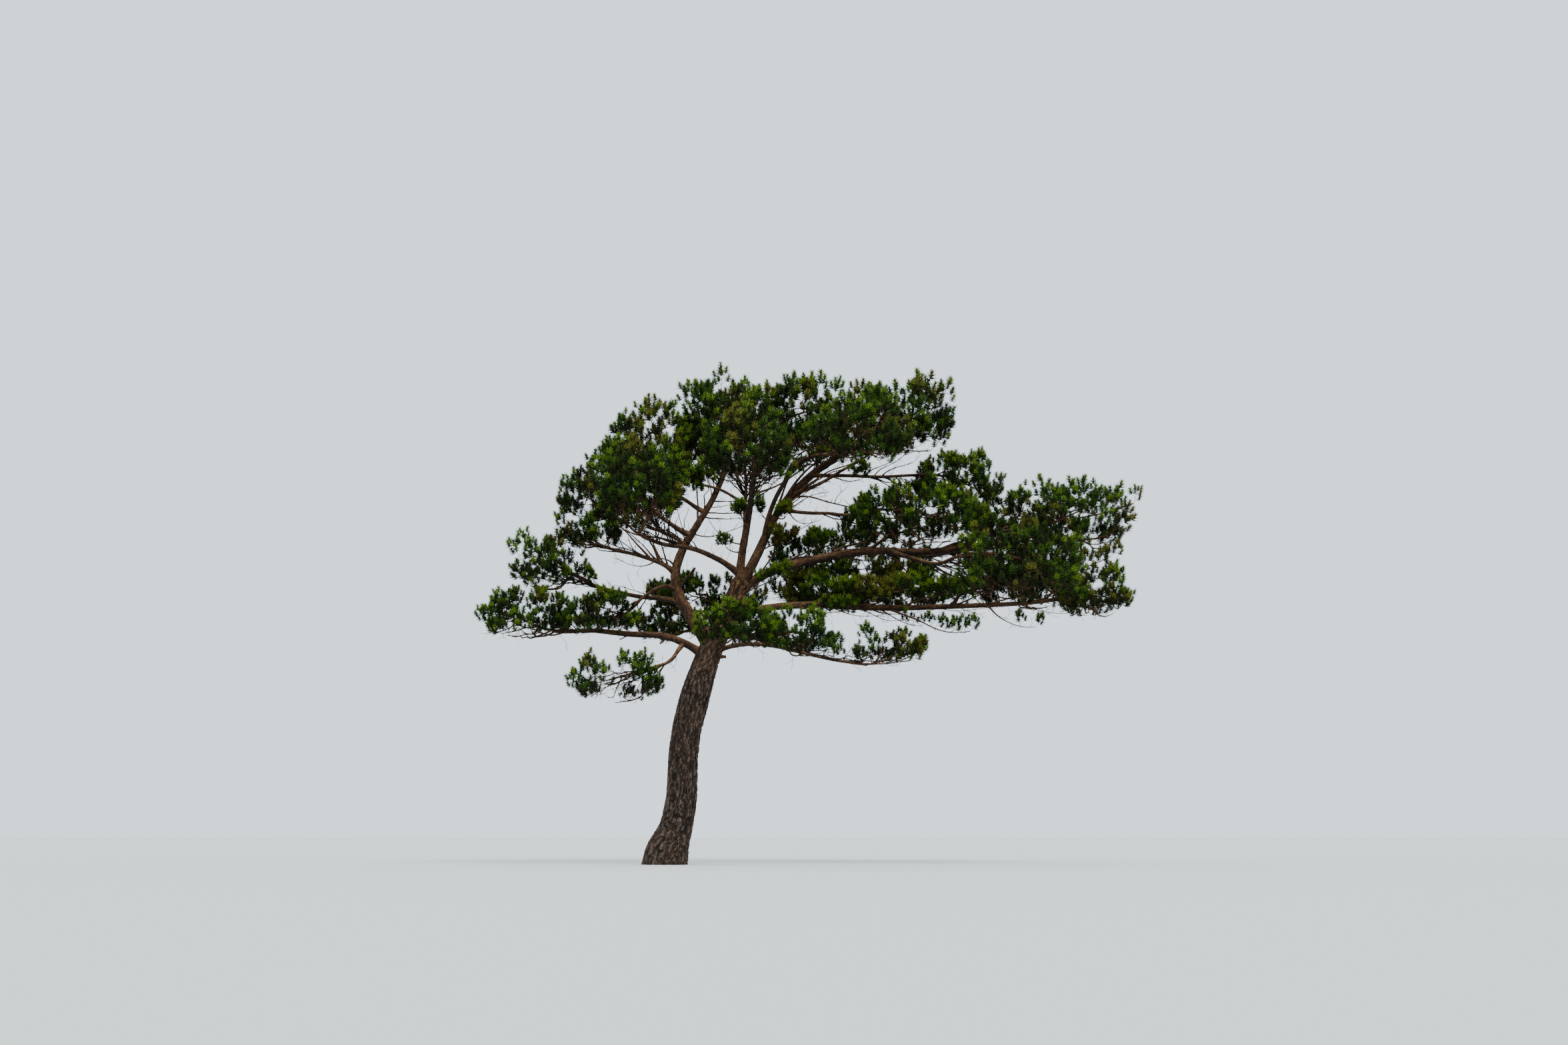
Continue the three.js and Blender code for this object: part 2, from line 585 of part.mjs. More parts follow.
// Grows one mass by the seeded rule: the nearest sprays first, each joined to what has grown.
function growMass(name, order, foot, others, attempt = 0) {
  const space = spaceOf(MASSES[name]);
  const next = seeded(MASS_SEED + 13 * order + 1009 * attempt);
  const count = sprayCount(space);
  const small = Math.min(space.x, space.y, (space.above + space.below) / 2);
  const size = THREE.MathUtils.clamp(small / SPACE_OF_A_FULL_SPRAY, ...SPRAY_SIZES);
  const stem = stemPoints(foot, space);
  const start = { point: foot.point, ahead: foot.ahead, path: 0, springs: SPRINGS };
  const nodes = [{ ...start, parent: null, load: 0 }];
  const stemEnds = addNodes(nodes, 0, stem, true);
  const tips = sprayTips(space, count, next);
  const farOff = (tip) => sprayAt(space, tip, size, 1).root.distanceTo(foot.point);
  tips.sort((a, b) => farOff(a) - farOff(b));
  const twigs = [];
  tips.forEach((tip) => {
    const twig = TRIES.reduce((found, pull) => found
      ?? fitTwig(space, nodes, twigs, sprayAt(space, tip, size, pull), others), null);
    if (!twig) return;
    nodes[twig.spring].springs += 1;
    twig.first = nodes.length;
    twig.ends = addNodes(nodes, twig.spring, twig.points, false);
    twig.last = nodes.length - 1;
    for (let at = twig.last; at !== null; at = nodes[at].parent) nodes[at].load += 1;
    twigs.push(twig);
  });
  // A twig is as thick as what it carries: the foot matches its bough, the last twigs are thin.
  const power = Math.log(foot.radius / TWIG_RADIUS) / Math.log(Math.max(2, twigs.length));
  const radiusOf = (node) => TWIG_RADIUS * Math.max(1, nodes[node].load) ** power;
  const stemRings = ringsAlong(stem, [foot.radius, ...stemEnds.map(radiusOf)], foot.ahead);
  const parts = [solidOf(tube(stemRings, STEM_SIDES))];
  twigs.forEach((twig) => {
    const first = Math.min(radiusOf(twig.ends[0]) * 1.15, radiusOf(twig.spring) * 0.5);
    const radii = [first, ...twig.ends.map(radiusOf)];
    parts.push(solidOf(twigWithSpray(twig.points, radii, twig.axis, twig.size)));
  });
  const whole = largest(wasm.Manifold.union(parts), SLIVER.mass);
  return closes(whole) ? whole : growMass(name, order, foot, others, attempt + 1);
}

// The foot of a mass: a small gap beyond its bough's tip, or out of the trunk's side.
function footOf(name) {
  const row = MASSES[name];
  if (row.on) {
    const at = trunkAt(trunkShare(row.on));
    const ahead = new THREE.Vector3(Math.cos(radians(row.compass)), Math.sin(radians(row.compass)), 0.25);
    ahead.normalize();
    const point = at.point.clone().addScaledVector(ahead, at.radius * 0.8);
    return { point, ahead, radius: 26 };
  }
  const limb = limbs[name];
  const tip = limb.pointAt(1);
  const count = THREE.MathUtils.clamp(Math.round(limb.length / BOUGH_STEP), ...BOUGH_RINGS);
  const ahead = tip.clone().sub(limb.pointAt(1 - 1 / count)).normalize();
  const point = tip.clone().addScaledVector(ahead, CLEAR);
  return { point, ahead, radius: limb.radiusAt(1) * 0.94 };
}

// The trunk first, then the boughs in order, each cut clear of the wood that is there, and then
// the masses, which grow in what room is left.
const tree = new THREE.Group();
const limbs = {};
const wood = [trunkSolid()];
const cutters = [trunkSolid(CUT_CLEAR)];
tree.add(meshOf('trunk', wood[0], bark()));

Object.keys(BOUGHS).forEach((name, order) => {
  limbs[name] = limbOf(name, order);
  const cut = cutters.reduce((solid, cutter) => solid.subtract(cutter), limbSolid(limbs[name]));
  const solid = largest(cut, SLIVER.bough);
  wood.push(solid);
  cutters.push(limbSolid(limbs[name], CUT_CLEAR));
  tree.add(meshOf(`bough_${name}`, solid, upperBark()));
});

const foliage = [];
Object.keys(MASSES).forEach((name, order) => {
  const onTrunk = Boolean(MASSES[name].on);
  const others = [...(onTrunk ? wood.slice(1) : wood), ...foliage];
  let solid = growMass(name, order, footOf(name), others);
  if (onTrunk) solid = largest(solid.subtract(cutters[0]), SLIVER.bough);
  foliage.push(solid);
  tree.add(meshOf(`mass_${name}`, solid, needleGreen()));
});

export default tree;
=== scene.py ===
# %% [markdown]
# # A windswept pine
# This is a low pine that has grown in steady wind: a leaning trunk in plated bark, strong boughs
# that swing to one side, and layers of needles with gaps between them. A fixed frame already holds
# the trunk, the boughs and the space of each mass of needles, and everything here is placed in
# that frame, so nothing has to be fitted afterwards.

# %% Load the frame
import math

import bmesh
import bpy
import numpy as np
from mathutils import Matrix, Vector, noise


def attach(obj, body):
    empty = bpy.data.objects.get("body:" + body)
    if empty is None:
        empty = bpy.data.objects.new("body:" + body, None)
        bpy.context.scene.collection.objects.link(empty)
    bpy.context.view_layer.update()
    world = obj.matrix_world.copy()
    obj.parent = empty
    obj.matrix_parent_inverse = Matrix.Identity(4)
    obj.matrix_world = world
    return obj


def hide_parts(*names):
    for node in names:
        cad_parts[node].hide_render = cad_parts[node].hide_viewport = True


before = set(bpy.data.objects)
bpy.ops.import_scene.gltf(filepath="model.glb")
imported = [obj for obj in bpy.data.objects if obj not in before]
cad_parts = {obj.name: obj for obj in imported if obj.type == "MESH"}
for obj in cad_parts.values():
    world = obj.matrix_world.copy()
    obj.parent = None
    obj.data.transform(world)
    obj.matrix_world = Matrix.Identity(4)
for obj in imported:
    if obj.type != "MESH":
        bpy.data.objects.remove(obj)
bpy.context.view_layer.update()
print("the frame has", len(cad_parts), "nodes")

# %% [markdown]
# ## The camera
# The tree is seen from low down and far off: a normal lens and a slight upward tilt. Shifting the
# lens would do it too, but a tilt stays true when the camera is moved round the tree.

# %% Camera
lens = bpy.data.cameras.new("low_view")
lens.lens = 50
lens.sensor_width = 36
lens.clip_end = 500
camera = bpy.data.objects.new("low_view", lens)
camera.location = (1.402, -26.1, 0.37)
camera.rotation_euler = (math.radians(90 + 8.12), 0, 0)
bpy.context.scene.collection.objects.link(camera)
bpy.context.scene.camera = camera
print("camera", round(camera.location.y, 1), "m from the trunk's plane")

# %% [markdown]
# ## The sizes of the tree
# A tree is easiest to hold as tables, in millimetres as on a drawing; the meshes turn them to
# metres at the end. The trunk is a row of thicknesses along its axis. A bough is one curve. A mass
# of needles is a rounded space that it may fill. The tables give x and z as they look from the
# camera, in the trunk's plane, and things before or behind it move along the line of sight.

# %% Tables
MM = 0.001
UP = Vector((0, 0, 1))
EYE = Vector((1402, -26100, 370))


def table(text):
    """Rows by name. A word that ends in a digit is a number."""
    rows = {}
    for line in text.strip().split("\n"):
        name, *words = line.split()
        rows[name] = [float(word) if word[-1].isdigit() else word for word in words]
    return rows


TRUNK = [  # height, x, y, thickness
    (0, 0, 0, 500), (170, 23, 4, 490), (300, 70, 8, 430), (470, 126, 10, 378), (810, 184, 14, 358),
    (1240, 200, 10, 347), (1560, 235, 0, 343), (1890, 313, -10, 350), (2100, 370, -12, 338),
    (2320, 440, -10, 306), (2550, 522, 0, 282), (2850, 660, 15, 250), (3150, 795, 25, 225),
    (3440, 915, 30, 196),
]
# name, parent, place on it, tip x z y, slopes in degrees, thicknesses, bend
BOUGHS = table("""
leader_left trunk 2600 700 4770 6 132 70 165 62 0.58
leader_centre trunk 3330 1060 4860 -60 86 86 112 60 0.36
leader_right trunk 3230 2380 5060 60 60 26 128 58 0.53
right_main trunk 3210 3560 3780 150 44 4 125 78 0.36
right_long trunk 2930 4850 3190 -50 16 16 98 48 0.36
low_right trunk 2430 2400 2372 -350 46 -9 66 34 0.28
left_low trunk 2440 -1170 2770 -60 44 0 104 50 0.36
front_right trunk 2680 1330 2730 -980 8 14 62 40 0.36
front_centre trunk 2780 840 2800 -1180 2 16 60 38 0.36
upper_left_back leader_left 0.6 -180 4100 640 40 40 54 38 0.36
left_mid leader_left 0.2 -960 3370 150 17 30 64 42 0.33
left_inner leader_left 0.27 -580 2925 -380 54 -36 48 32 0.41
hanging_left left_low 0.2 -200 2330 -560 -42 -4 48 34 0.36
upper_left_low leader_left 0.42 -720 3780 50 49 12 62 36 0.25
upper_left leader_left 0.67 -300 4430 -60 22 58 64 40 0.36
upper_left_top leader_left 0.8 -60 4660 90 34 64 52 36 0.36
upper_left_front trunk 3425 -315 3930 -620 37 19 78 44 0.48
upper_front leader_centre 0.5 1020 4640 -820 22 44 54 38 0.36
upper_back leader_centre 0.44 930 4700 820 26 44 54 38 0.36
upper_front_right leader_right 0.24 1960 4930 -720 70 -7 64 40 0.44
upper_back_right leader_right 0.5 1980 4840 860 30 30 58 38 0.36
right_upper leader_right 0.74 3120 4680 230 -2 2 48 34 0.36
right_middle leader_right 0.44 2360 4220 -360 -3 3 48 34 0.36
centre_back_right right_main 0.2 1560 3650 740 14 12 60 40 0.36
far_right_front right_main 0.7 3420 3650 -820 -6 18 62 40 0.36
far_right_back right_main 0.62 3500 3740 880 6 14 62 40 0.36
low_back_right right_long 0.24 1900 3200 520 4 14 50 34 0.36
far_right_low right_long 0.66 3640 3350 -170 28 24 46 32 0.36
""")
# name, x from and to, z from and to, y from and to, how full it is
MASSES = table("""
left_low -2340 -1050 2720 3390 -560 520 1.9
left_mid -1990 -900 3290 4120 -420 700 1.1
left_inner -1250 -280 2770 3340 -950 -60 1.8
hanging_left -1260 60 1950 2660 -1300 -150 0.9
upper_left_low -1450 -450 3800 4330 -500 560 1.4
upper_left -1450 -300 4140 4960 -640 600 0.95
upper_left_top -930 450 4480 5730 -640 640 1.15
upper_left_front -950 300 4140 5240 -1800 -500 0.85
upper_left_back -1150 330 4050 5350 480 2000 0.55
leader_left 30 1150 4780 6090 -560 640 1.5
leader_centre 900 2380 4880 6020 -600 600 1.2
leader_right 2130 3640 4990 6020 -640 640 1
upper_front 300 1700 4580 5640 -1900 -480 0.85
upper_front_right 1550 3050 4870 5790 -1850 -500 0.85
upper_back 230 1700 4700 5880 480 2050 0.6
upper_back_right 1550 3120 4860 5880 500 2050 0.7
right_upper 2850 4180 4340 5020 -420 860 2.0
right_middle 2080 3950 3880 4640 -1000 300 1.6
right_main 3450 5800 3800 4720 -620 760 1.2
right_long 4550 5680 2960 3720 -620 620 1.8
far_right_low 3350 5150 3070 3780 -760 620 1.5
far_right_front 3350 5100 3170 4250 -1800 -560 0.95
far_right_back 3400 5200 3330 4450 560 2050 0.7
centre_back_right 1050 3250 3370 4070 520 1980 1
low_back_right 1180 3650 3040 3660 -300 1500 1.8
front_right 1100 2100 2500 3110 -1900 -660 1.3
low_right 1860 3200 2420 2910 -900 160 1.5
front_centre 280 1450 2600 3220 -2100 -700 2.2
centre_back -350 1300 2960 3540 260 1800 2.1
low_back -450 520 2690 3140 200 1500 1.1
""")
ON_THE_TRUNK = {"centre_back": (3060, 95), "low_back": (2700, 108)}  # height, compass


def mix(start, end, share):
    return start + (end - start) * share


def place(x, z, y):
    """A point of the tables, moved to its depth y along the line of sight."""
    share = 1 - y / EYE.y
    return Vector((EYE.x + (x - EYE.x) * share, y, EYE.z + (z - EYE.z) * share))


def seeded(seed):
    """Repeatable numbers from 0 to 1."""
    state = seed
    while True:
        state = (1664525 * state + 1013904223) % 4294967296
        yield state / 4294967296


print(len(BOUGHS), "boughs and", len(MASSES), "masses of needles")

# %% [markdown]
# ## The curves of the trunk and the boughs
# Wood grows in smooth curves with small crooks where side shoots died. The trunk follows a
# Catmull-Rom curve, which passes through every measured point. A bough follows a cubic Bezier
# curve, which takes its slopes directly, with a few seeded waves laid over it. Where it leaves its
# parent it swells into a collar.

# %% Curves
TRUNK_POINTS = [Vector((x, y, z)) for z, x, y, _ in TRUNK]
BOUGH_SEED = 101
CROOK = 0.012
TAPER = 0.8
COLLAR = (0.35, 150)  # how much wider, and over how many mm


def trunk_at(share):
    """The middle and the radius of the trunk at a share of its stations."""
    spot = share * (len(TRUNK) - 1)
    i = min(int(spot), len(TRUNK) - 2)
    t = spot - i
    before, after = TRUNK_POINTS[i], TRUNK_POINTS[i + 1]
    first = TRUNK_POINTS[i - 1] if i > 0 else before * 2 - after
    last = TRUNK_POINTS[i + 2] if i + 2 < len(TRUNK) else after * 2 - before
    leave, arrive = (after - first) * 0.5, (last - before) * 0.5
    middle = (before + leave * t + (-3 * before + 3 * after - 2 * leave - arrive) * t ** 2
              + (2 * before - 2 * after + leave + arrive) * t ** 3)
    return middle, mix(TRUNK[i][3], TRUNK[i + 1][3], t) / 2


def trunk_share(height):
    """The share of the trunk's stations at a height."""
    low, high = 0.0, 1.0
    for _ in range(40):
        middle = (low + high) / 2
        if trunk_at(middle)[0].z < height:
            low = middle
        else:
            high = middle
    return low


def limb_of(row, order):
    """A limb as two functions of the share of its way: the middle and the radius."""
    on, at, x, z, y, rise, fall, thick, thin, bend = row[:10]
    parent = limbs.get(on) or side_limbs.get(on)
    foot = parent["point_at"](at) if parent else trunk_at(trunk_share(at))[0]
    tip = place(x, z, y)
    length = (tip - foot).length
    level = Vector((tip.x - foot.x, tip.y - foot.y, 0)).normalized()
    leave, arrive = [(level * math.cos(math.radians(s)) + UP * math.sin(math.radians(s))) * length * bend
                     for s in (rise, fall)]
    draws = seeded(BOUGH_SEED + order)
    crooks = [Vector([next(draws) - 0.5 for _ in range(3)]) * (2 * CROOK * length / math.sqrt(waves))
              for waves in (1, 2, 3, 4)]

    def point_at(share):
        rest = 1 - share
        point = (foot * rest ** 3 + (foot + leave) * (3 * rest ** 2 * share)
                 + (tip - arrive) * (3 * rest * share ** 2) + tip * share ** 3)
        for i, crook in enumerate(crooks):
            point = point + crook * math.sin(math.pi * (i + 1) * share)
        return point

    def radius_at(share):
        collar = 1 + COLLAR[0] * math.exp(-(share * length / COLLAR[1]) ** 2)
        return mix(thick, thin, share ** TAPER) / 2 * collar

    return {"point_at": point_at, "radius_at": radius_at, "length": length, "tip": tip, "thick": thick}


limbs, side_limbs = {}, {}
for order, (name, row) in enumerate(BOUGHS.items()):
    limbs[name] = limb_of(row, order)
print("wood in the boughs:", round(sum(limb["length"] for limb in limbs.values()) * MM, 1), "m")

# %% [markdown]
# ## The side limbs
# Between the boughs and the twigs a pine has thinner limbs: some lead into the needles, some carry
# a few small sprays of their own, and many are bare, dead or broken off short. They cross the gaps
# in the crown, so each is one more row like a bough's, with the number of sprays that it carries.

# %% Side limbs
SIDE_LIMBS = table("""
crossing leader_centre 0.58 60 4640 -200 60 14 44 22 0.4 7
inner_tuft leader_left 0.74 330 4630 -200 80 40 24 11 0.4 7
fan_left leader_centre 0.62 1330 4790 40 74 40 28 13 0.4 1
fan_middle leader_right 0.4 1650 4830 30 72 34 34 15 0.4 0
fan_low leader_right 0.55 2330 4860 -60 34 20 28 13 0.4 2
fan_front upper_front_right 0.45 1720 5000 -420 70 12 30 14 0.4 0
left_fan_front upper_left_front 0.58 -640 4080 -420 30 36 34 13 0.4 3
left_fan_low upper_left_low 0.42 -640 4080 -40 44 34 28 12 0.4 2
left_fan_back upper_left_back 0.55 -560 4230 420 30 36 30 13 0.4 1
left_fan_inner upper_left_low 0.3 -420 4150 -90 66 44 26 11 0.4 2
left_ray upper_left_low 0.16 -180 4060 -140 70 60 20 8 0.4 0
left_ray_high upper_left_low 0.22 -330 4080 -60 50 40 22 8 0.4 0
left_ray_back upper_left_low 0.3 -520 4000 60 44 34 22 8 0.4 0
left_ray_front upper_left_front 0.4 -380 4020 -300 30 50 22 8 0.4 0
left_ray_low upper_left_low 0.45 -660 3930 -160 20 30 20 8 0.4 1
left_between left_mid 0.62 -1060 3400 -60 -20 10 20 9 0.36 4
short_curl leader_left 0.45 -180 3650 -60 76 -8 22 12 0.45 0
inner_curl leader_left 0.6 -200 4010 -120 62 -8 28 12 0.4 0
low_curl upper_left_low 0.36 -640 3665 60 -38 28 13 5 0.4 0
level_top leader_left 0.86 1010 4385 -60 -4 8 15 8 0.36 0
level_upper leader_left 0.83 860 4300 20 -6 -6 12 6 0.36 0
level_lower leader_left 0.8 900 4200 -40 -8 -8 17 9 0.36 0
level_low leader_left 0.78 900 4150 30 -14 4 16 8 0.36 0
window_sag leader_left 0.68 930 4065 -40 -26 26 15 8 0.36 0
window_loop leader_centre 0.31 480 4150 -30 8 62 15 6 0.42 0
centre_tuft leader_centre 0.24 700 3790 -40 6 42 17 9 0.36 3
centre_up leader_centre 0.48 880 4190 -90 40 66 16 9 0.36 5
to_the_right leader_centre 0.74 1740 4840 -90 10 40 27 15 0.36 0
right_up leader_right 0.33 1120 4230 -80 50 80 16 9 0.36 4
right_out leader_right 0.38 1420 4160 -110 4 40 18 9 0.36 5
brushwood leader_right 0.47 1960 4600 -140 24 8 22 9 0.4 0
brushwood_low leader_right 0.45 1840 4520 60 14 4 18 8 0.4 0
brushwood_mid leader_right 0.41 1960 4470 -160 20 0 18 8 0.4 0
brushwood_high leader_right 0.5 2200 4760 -180 30 6 26 10 0.4 1
fork_tuft trunk 3150 1330 3420 -160 30 20 26 11 0.36 5
under_the_top leader_right 0.43 1900 4850 -220 58 14 30 13 0.4 6
fork_right leader_right 0.56 2500 4975 40 16 32 54 26 0.36 0
fan leader_right 0.5 2180 5010 -150 64 16 36 18 0.4 0
fan_back leader_right 0.62 2420 5040 260 52 18 34 18 0.4 0
swan leader_right 0.53 2480 4272 -120 16 8 25 13 0.45 1
upright swan 0.6 2190 4560 -140 88 52 10 4 0.4 0
rising_first right_upper 0.48 2790 4985 60 52 84 13 5 0.4 0
rising_second right_upper 0.56 2900 4990 160 58 74 12 5 0.4 0
rising_third right_upper 0.62 3060 4930 0 50 60 14 5 0.4 0
beside_upper right_upper 0.16 2360 4640 -120 -24 20 18 8 0.36 3
hanging_loop right_middle 0.12 1900 4185 -90 -66 44 13 5 0.5 0
low_loop leader_right 0.28 1800 4150 -40 -12 42 17 6 0.4 0
low_tuft leader_right 0.18 1330 3880 -110 16 48 20 10 0.36 4
main_tuft right_main 0.33 1770 3830 -60 56 50 18 10 0.36 4
main_tall_tuft right_main 0.46 2180 4080 -60 70 74 24 10 0.36 5
main_short right_main 0.45 2400 3850 20 48 6 36 18 0.36 3
main_rising right_main 0.6 3040 4030 60 32 6 44 20 0.36 3
main_outer right_main 0.78 3330 4020 -60 46 20 24 10 0.36 5
far_tip right_main 0.93 5640 4330 80 22 16 36 14 0.36 7
far_tip_back right_main 0.9 5300 4300 420 24 10 34 14 0.36 5
far_between right_long 0.93 5350 3680 -40 50 24 24 10 0.36 6
main_falling right_main 0.69 3040 3390 0 -34 -28 28 14 0.36 2
under_right right_long 0.47 3640 2775 -120 -14 10 26 10 0.36 5
under_right_short right_long 0.44 3060 2840 -60 -22 6 18 8 0.36 3
far_drop right_long 0.77 4420 2825 60 -50 6 18 8 0.4 2
low_bare right_long 0.38 2860 2905 40 -22 8 14 5 0.36 0
low_bare_right right_long 0.68 3830 3000 30 -28 22 9 4 0.36 0
low_bare_far right_long 0.95 4970 3000 -30 -34 26 9 4 0.36 0
long_front right_long 0.22 2350 3260 -420 14 8 30 12 0.36 13
long_front_middle right_long 0.36 2900 3280 -430 16 6 28 12 0.36 12
long_front_outer right_long 0.5 3420 3250 -400 10 8 26 11 0.36 10
long_under right_long 0.2 2130 3020 -260 -22 10 20 9 0.36 6
behind_leader right_main 0.12 1500 3860 240 62 30 26 11 0.36 9
behind_leader_right right_main 0.25 1960 3820 260 46 20 26 11 0.36 8
low_bow low_right 0.86 3010 2535 -350 -8 38 26 10 0.36 3
dead_fork leader_left 0.3 330 3540 -90 56 46 36 22 0.36 0
dead_stub trunk 2450 705 2466 -50 16 4 44 36 0.36 0
snag left_low 0.33 -90 2622 -20 -46 -34 24 16 0.36 0
snag_outer left_low 0.6 -575 2668 -40 -44 -38 17 9 0.36 0
long_low_front right_long 0.3 2560 3120 -300 -4 8 24 11 0.36 9
long_outer_tufts right_long 0.66 4060 3290 -120 16 6 24 10 0.36 10
long_outer_front right_long 0.76 4500 3270 -260 10 8 22 10 0.36 9
long_outer_last right_long 0.86 4900 3250 -120 4 6 20 9 0.36 8
long_bare_first right_long 0.3 2700 2990 -60 -30 14 13 5 0.36 0
long_bare_second right_long 0.42 3140 3020 40 -26 10 13 5 0.36 0
long_bare_third right_long 0.6 3900 3070 -80 -18 12 12 5 0.36 0
long_bare_last right_long 0.85 4900 3010 40 -16 14 13 5 0.36 0
bare_above left_mid 0.3 -650 3335 40 26 14 14 5 0.36 0
""")

for order, (name, row) in enumerate(SIDE_LIMBS.items()):
    side_limbs[name] = limb_of(row, len(BOUGHS) + order)
print("wood in the side limbs:", round(sum(limb["length"] for limb in side_limbs.values()) * MM, 1), "m")

# %% [markdown]
# ## The relief of the bark
# Old pine bark splits into long plates as the wood under it grows, and each plate is a stack of
# thin scales. Voronoi cells, drawn out along the trunk and bent a little by noise, have such
# plates: the cell edges are the furrows. Higher up the bark is thin and flakes off. The relief is
# worked out on the limb as if it stood straight, so that the plates run along the wood wherever it
# leans. Those straight coordinates and the relief are kept as attributes for the colours.

# %% Relief
PLATE = Vector((1 / 44, 1 / 44, 1 / 190))  # plates 44 mm wide and 190 mm long
PLATE_SWAYS = ((0.008, 26), (0.03, 9))  # how fast and how many mm their edges wander
FURROW = 15  # deep, on the thick part of the trunk
SCALE_STEP = 3.5
FLAKE = (24, 46)  # wide and long
ROOT_HEIGHT = 420
ROOT_SWELL = 0.2
ROOT_RIDGES = (35, 100, 172, 238, 310)
ROOT_RIDGE_WIDTH = 26
BARK_SEED = 1795671548

noise.seed_set(BARK_SEED)  # else noise_vector takes its seed from the clock, and differs in every run


def smooth_step(low, high, value):
    t = min(1, max(0, (value - low) / (high - low)))
    return t * t * (3 - 2 * t)


def plated(spot, radius):
    """Relief in mm of old bark, and how high the place is in it, from 0 in a furrow to 1."""
    warp, finer = [noise.noise_vector(spot * fast) * far for fast, far in PLATE_SWAYS]
    warp = warp + finer
    bent = spot + Vector((warp.x, warp.y, warp.z * 2.4))
    near, far = noise.voronoi(Vector([bent[k] * PLATE[k] for k in range(3)]))[0][:2]
    plate = smooth_step(0.02, 0.22, far - near)
    scales = noise.fractal(Vector((spot.x, spot.y, spot.z * 0.45)) * 0.06, 0.8, 2.2, 3)
    layer = math.floor((scales + 0.5) * 4) / 4
    depth = FURROW * min(1, max(0.3, radius / 170))
    relief = depth * (plate - 0.62) + SCALE_STEP * layer * plate
    return relief, min(1, max(0, plate * (0.72 + 0.5 * layer)))


def flaking(spot, radius):
    """Relief in mm of thin upper bark with knots and small scales."""
    swell = noise.noise(Vector((spot.x, spot.y, spot.z * 0.6)) * 0.014) * 0.09 * radius
    near, far = noise.voronoi(Vector((spot.x / FLAKE[0], spot.y / FLAKE[0], spot.z / FLAKE[1])))[0][:2]
    flake = smooth_step(0.02, 0.35, far - near)
    return swell + 1.8 * (flake - 0.5), flake


def root_swell(point, outward):
    """How much the ridges of the roots widen the foot of the trunk."""
    share = max(0, 1 - (point.z + outward.z) / ROOT_HEIGHT) ** 1.6
    compass = math.degrees(math.atan2(outward.y, outward.x))
    offs = [abs((compass - at + 540) % 360 - 180) for at in ROOT_RIDGES]
    return 1 + ROOT_SWELL * share * (math.exp(-(min(offs) / ROOT_RIDGE_WIDTH) ** 2) - 0.25)


# %% [markdown]
# ## A limb in its bark
# Each limb starts as a flat grid, one row of vertices for each ring. The grid is rolled round the
# limb's curve, its two long edges are merged and its ends are filled. Rolling a grid keeps even
# faces on a bent limb, where a straight cylinder would have to be bent and stretched.

# %% Roll a limb
def rings_along(points):
    """Two directions across the path at each point, carried on so that they don't twist."""
    rings, side = [], None
    for i, point in enumerate(points):
        ahead = (points[min(i + 1, len(points) - 1)] - points[max(i - 1, 0)]).normalized()
        if side is None:
            side = Vector((1, 0, 0)) if abs(ahead.z) > 0.9 else UP
        side = (side - ahead * side.dot(ahead)).normalized()
        rings.append((point, side, ahead.cross(side)))
    return rings


def roll_limb(bm, rings, radii, sides, relief, offset=Vector(), swell=None):
    """Adds one closed limb to the bmesh, with its relief and its straight coordinates."""
    straight = bm.verts.layers.float_vector["straight"]
    height = bm.verts.layers.float["relief"]
    last = len(rings) - 1
    grid = bmesh.ops.create_grid(bm, x_segments=sides, y_segments=last, size=0.5)["verts"]
    far = [0.0]
    for i in range(last):
        far.append(far[-1] + (rings[i + 1][0] - rings[i][0]).length)
    for vert in grid:
        turn = (vert.co.x + 0.5) * 2 * math.pi
        i = round((vert.co.y + 0.5) * last)
        point, side, across = rings[i]
        outward = side * math.cos(turn) + across * math.sin(turn)
        radius = radii[i]
        spot = Vector((radius * math.cos(turn), radius * math.sin(turn), far[i])) + offset
        rise, share = relief(spot, radius)
        if swell:
            radius *= swell(point, outward * radius)
        vert[straight] = spot * MM
        vert[height] = share
        vert.co = (point + outward * max(radius + rise, 0.4 * radius)) * MM
    bmesh.ops.remove_doubles(bm, verts=grid, dist=1e-6)
    edges = {edge for vert in grid if vert.is_valid for edge in vert.link_edges if edge.is_boundary}
    bmesh.ops.holes_fill(bm, edges=list(edges), sides=0)


def new_bark():
    bm = bmesh.new()
    bm.verts.layers.float_vector.new("straight")
    bm.verts.layers.float.new("relief")
    return bm


def new_piece(name, mesh):
    """An object of a smooth mesh, linked to the scene."""
    mesh.shade_smooth()
    piece = bpy.data.objects.new(name, mesh)
    bpy.context.scene.collection.objects.link(piece)
    print(name, sum(len(face.vertices) - 2 for face in mesh.polygons), "triangles")
    return piece


def finish_mesh(bm, name):
    bmesh.ops.recalc_face_normals(bm, faces=bm.faces)
    mesh = bpy.data.meshes.new(name)
    bm.to_mesh(mesh)
    bm.free()
    return new_piece(name, mesh)


# %% The trunk
TRUNK_RING = 15
TRUNK_AROUND = 108
CLOSING = 60  # mm over which the top rounds off
LEVEL_RINGS = 300  # mm above the ground where the rings, level at the flat cut, follow the lean

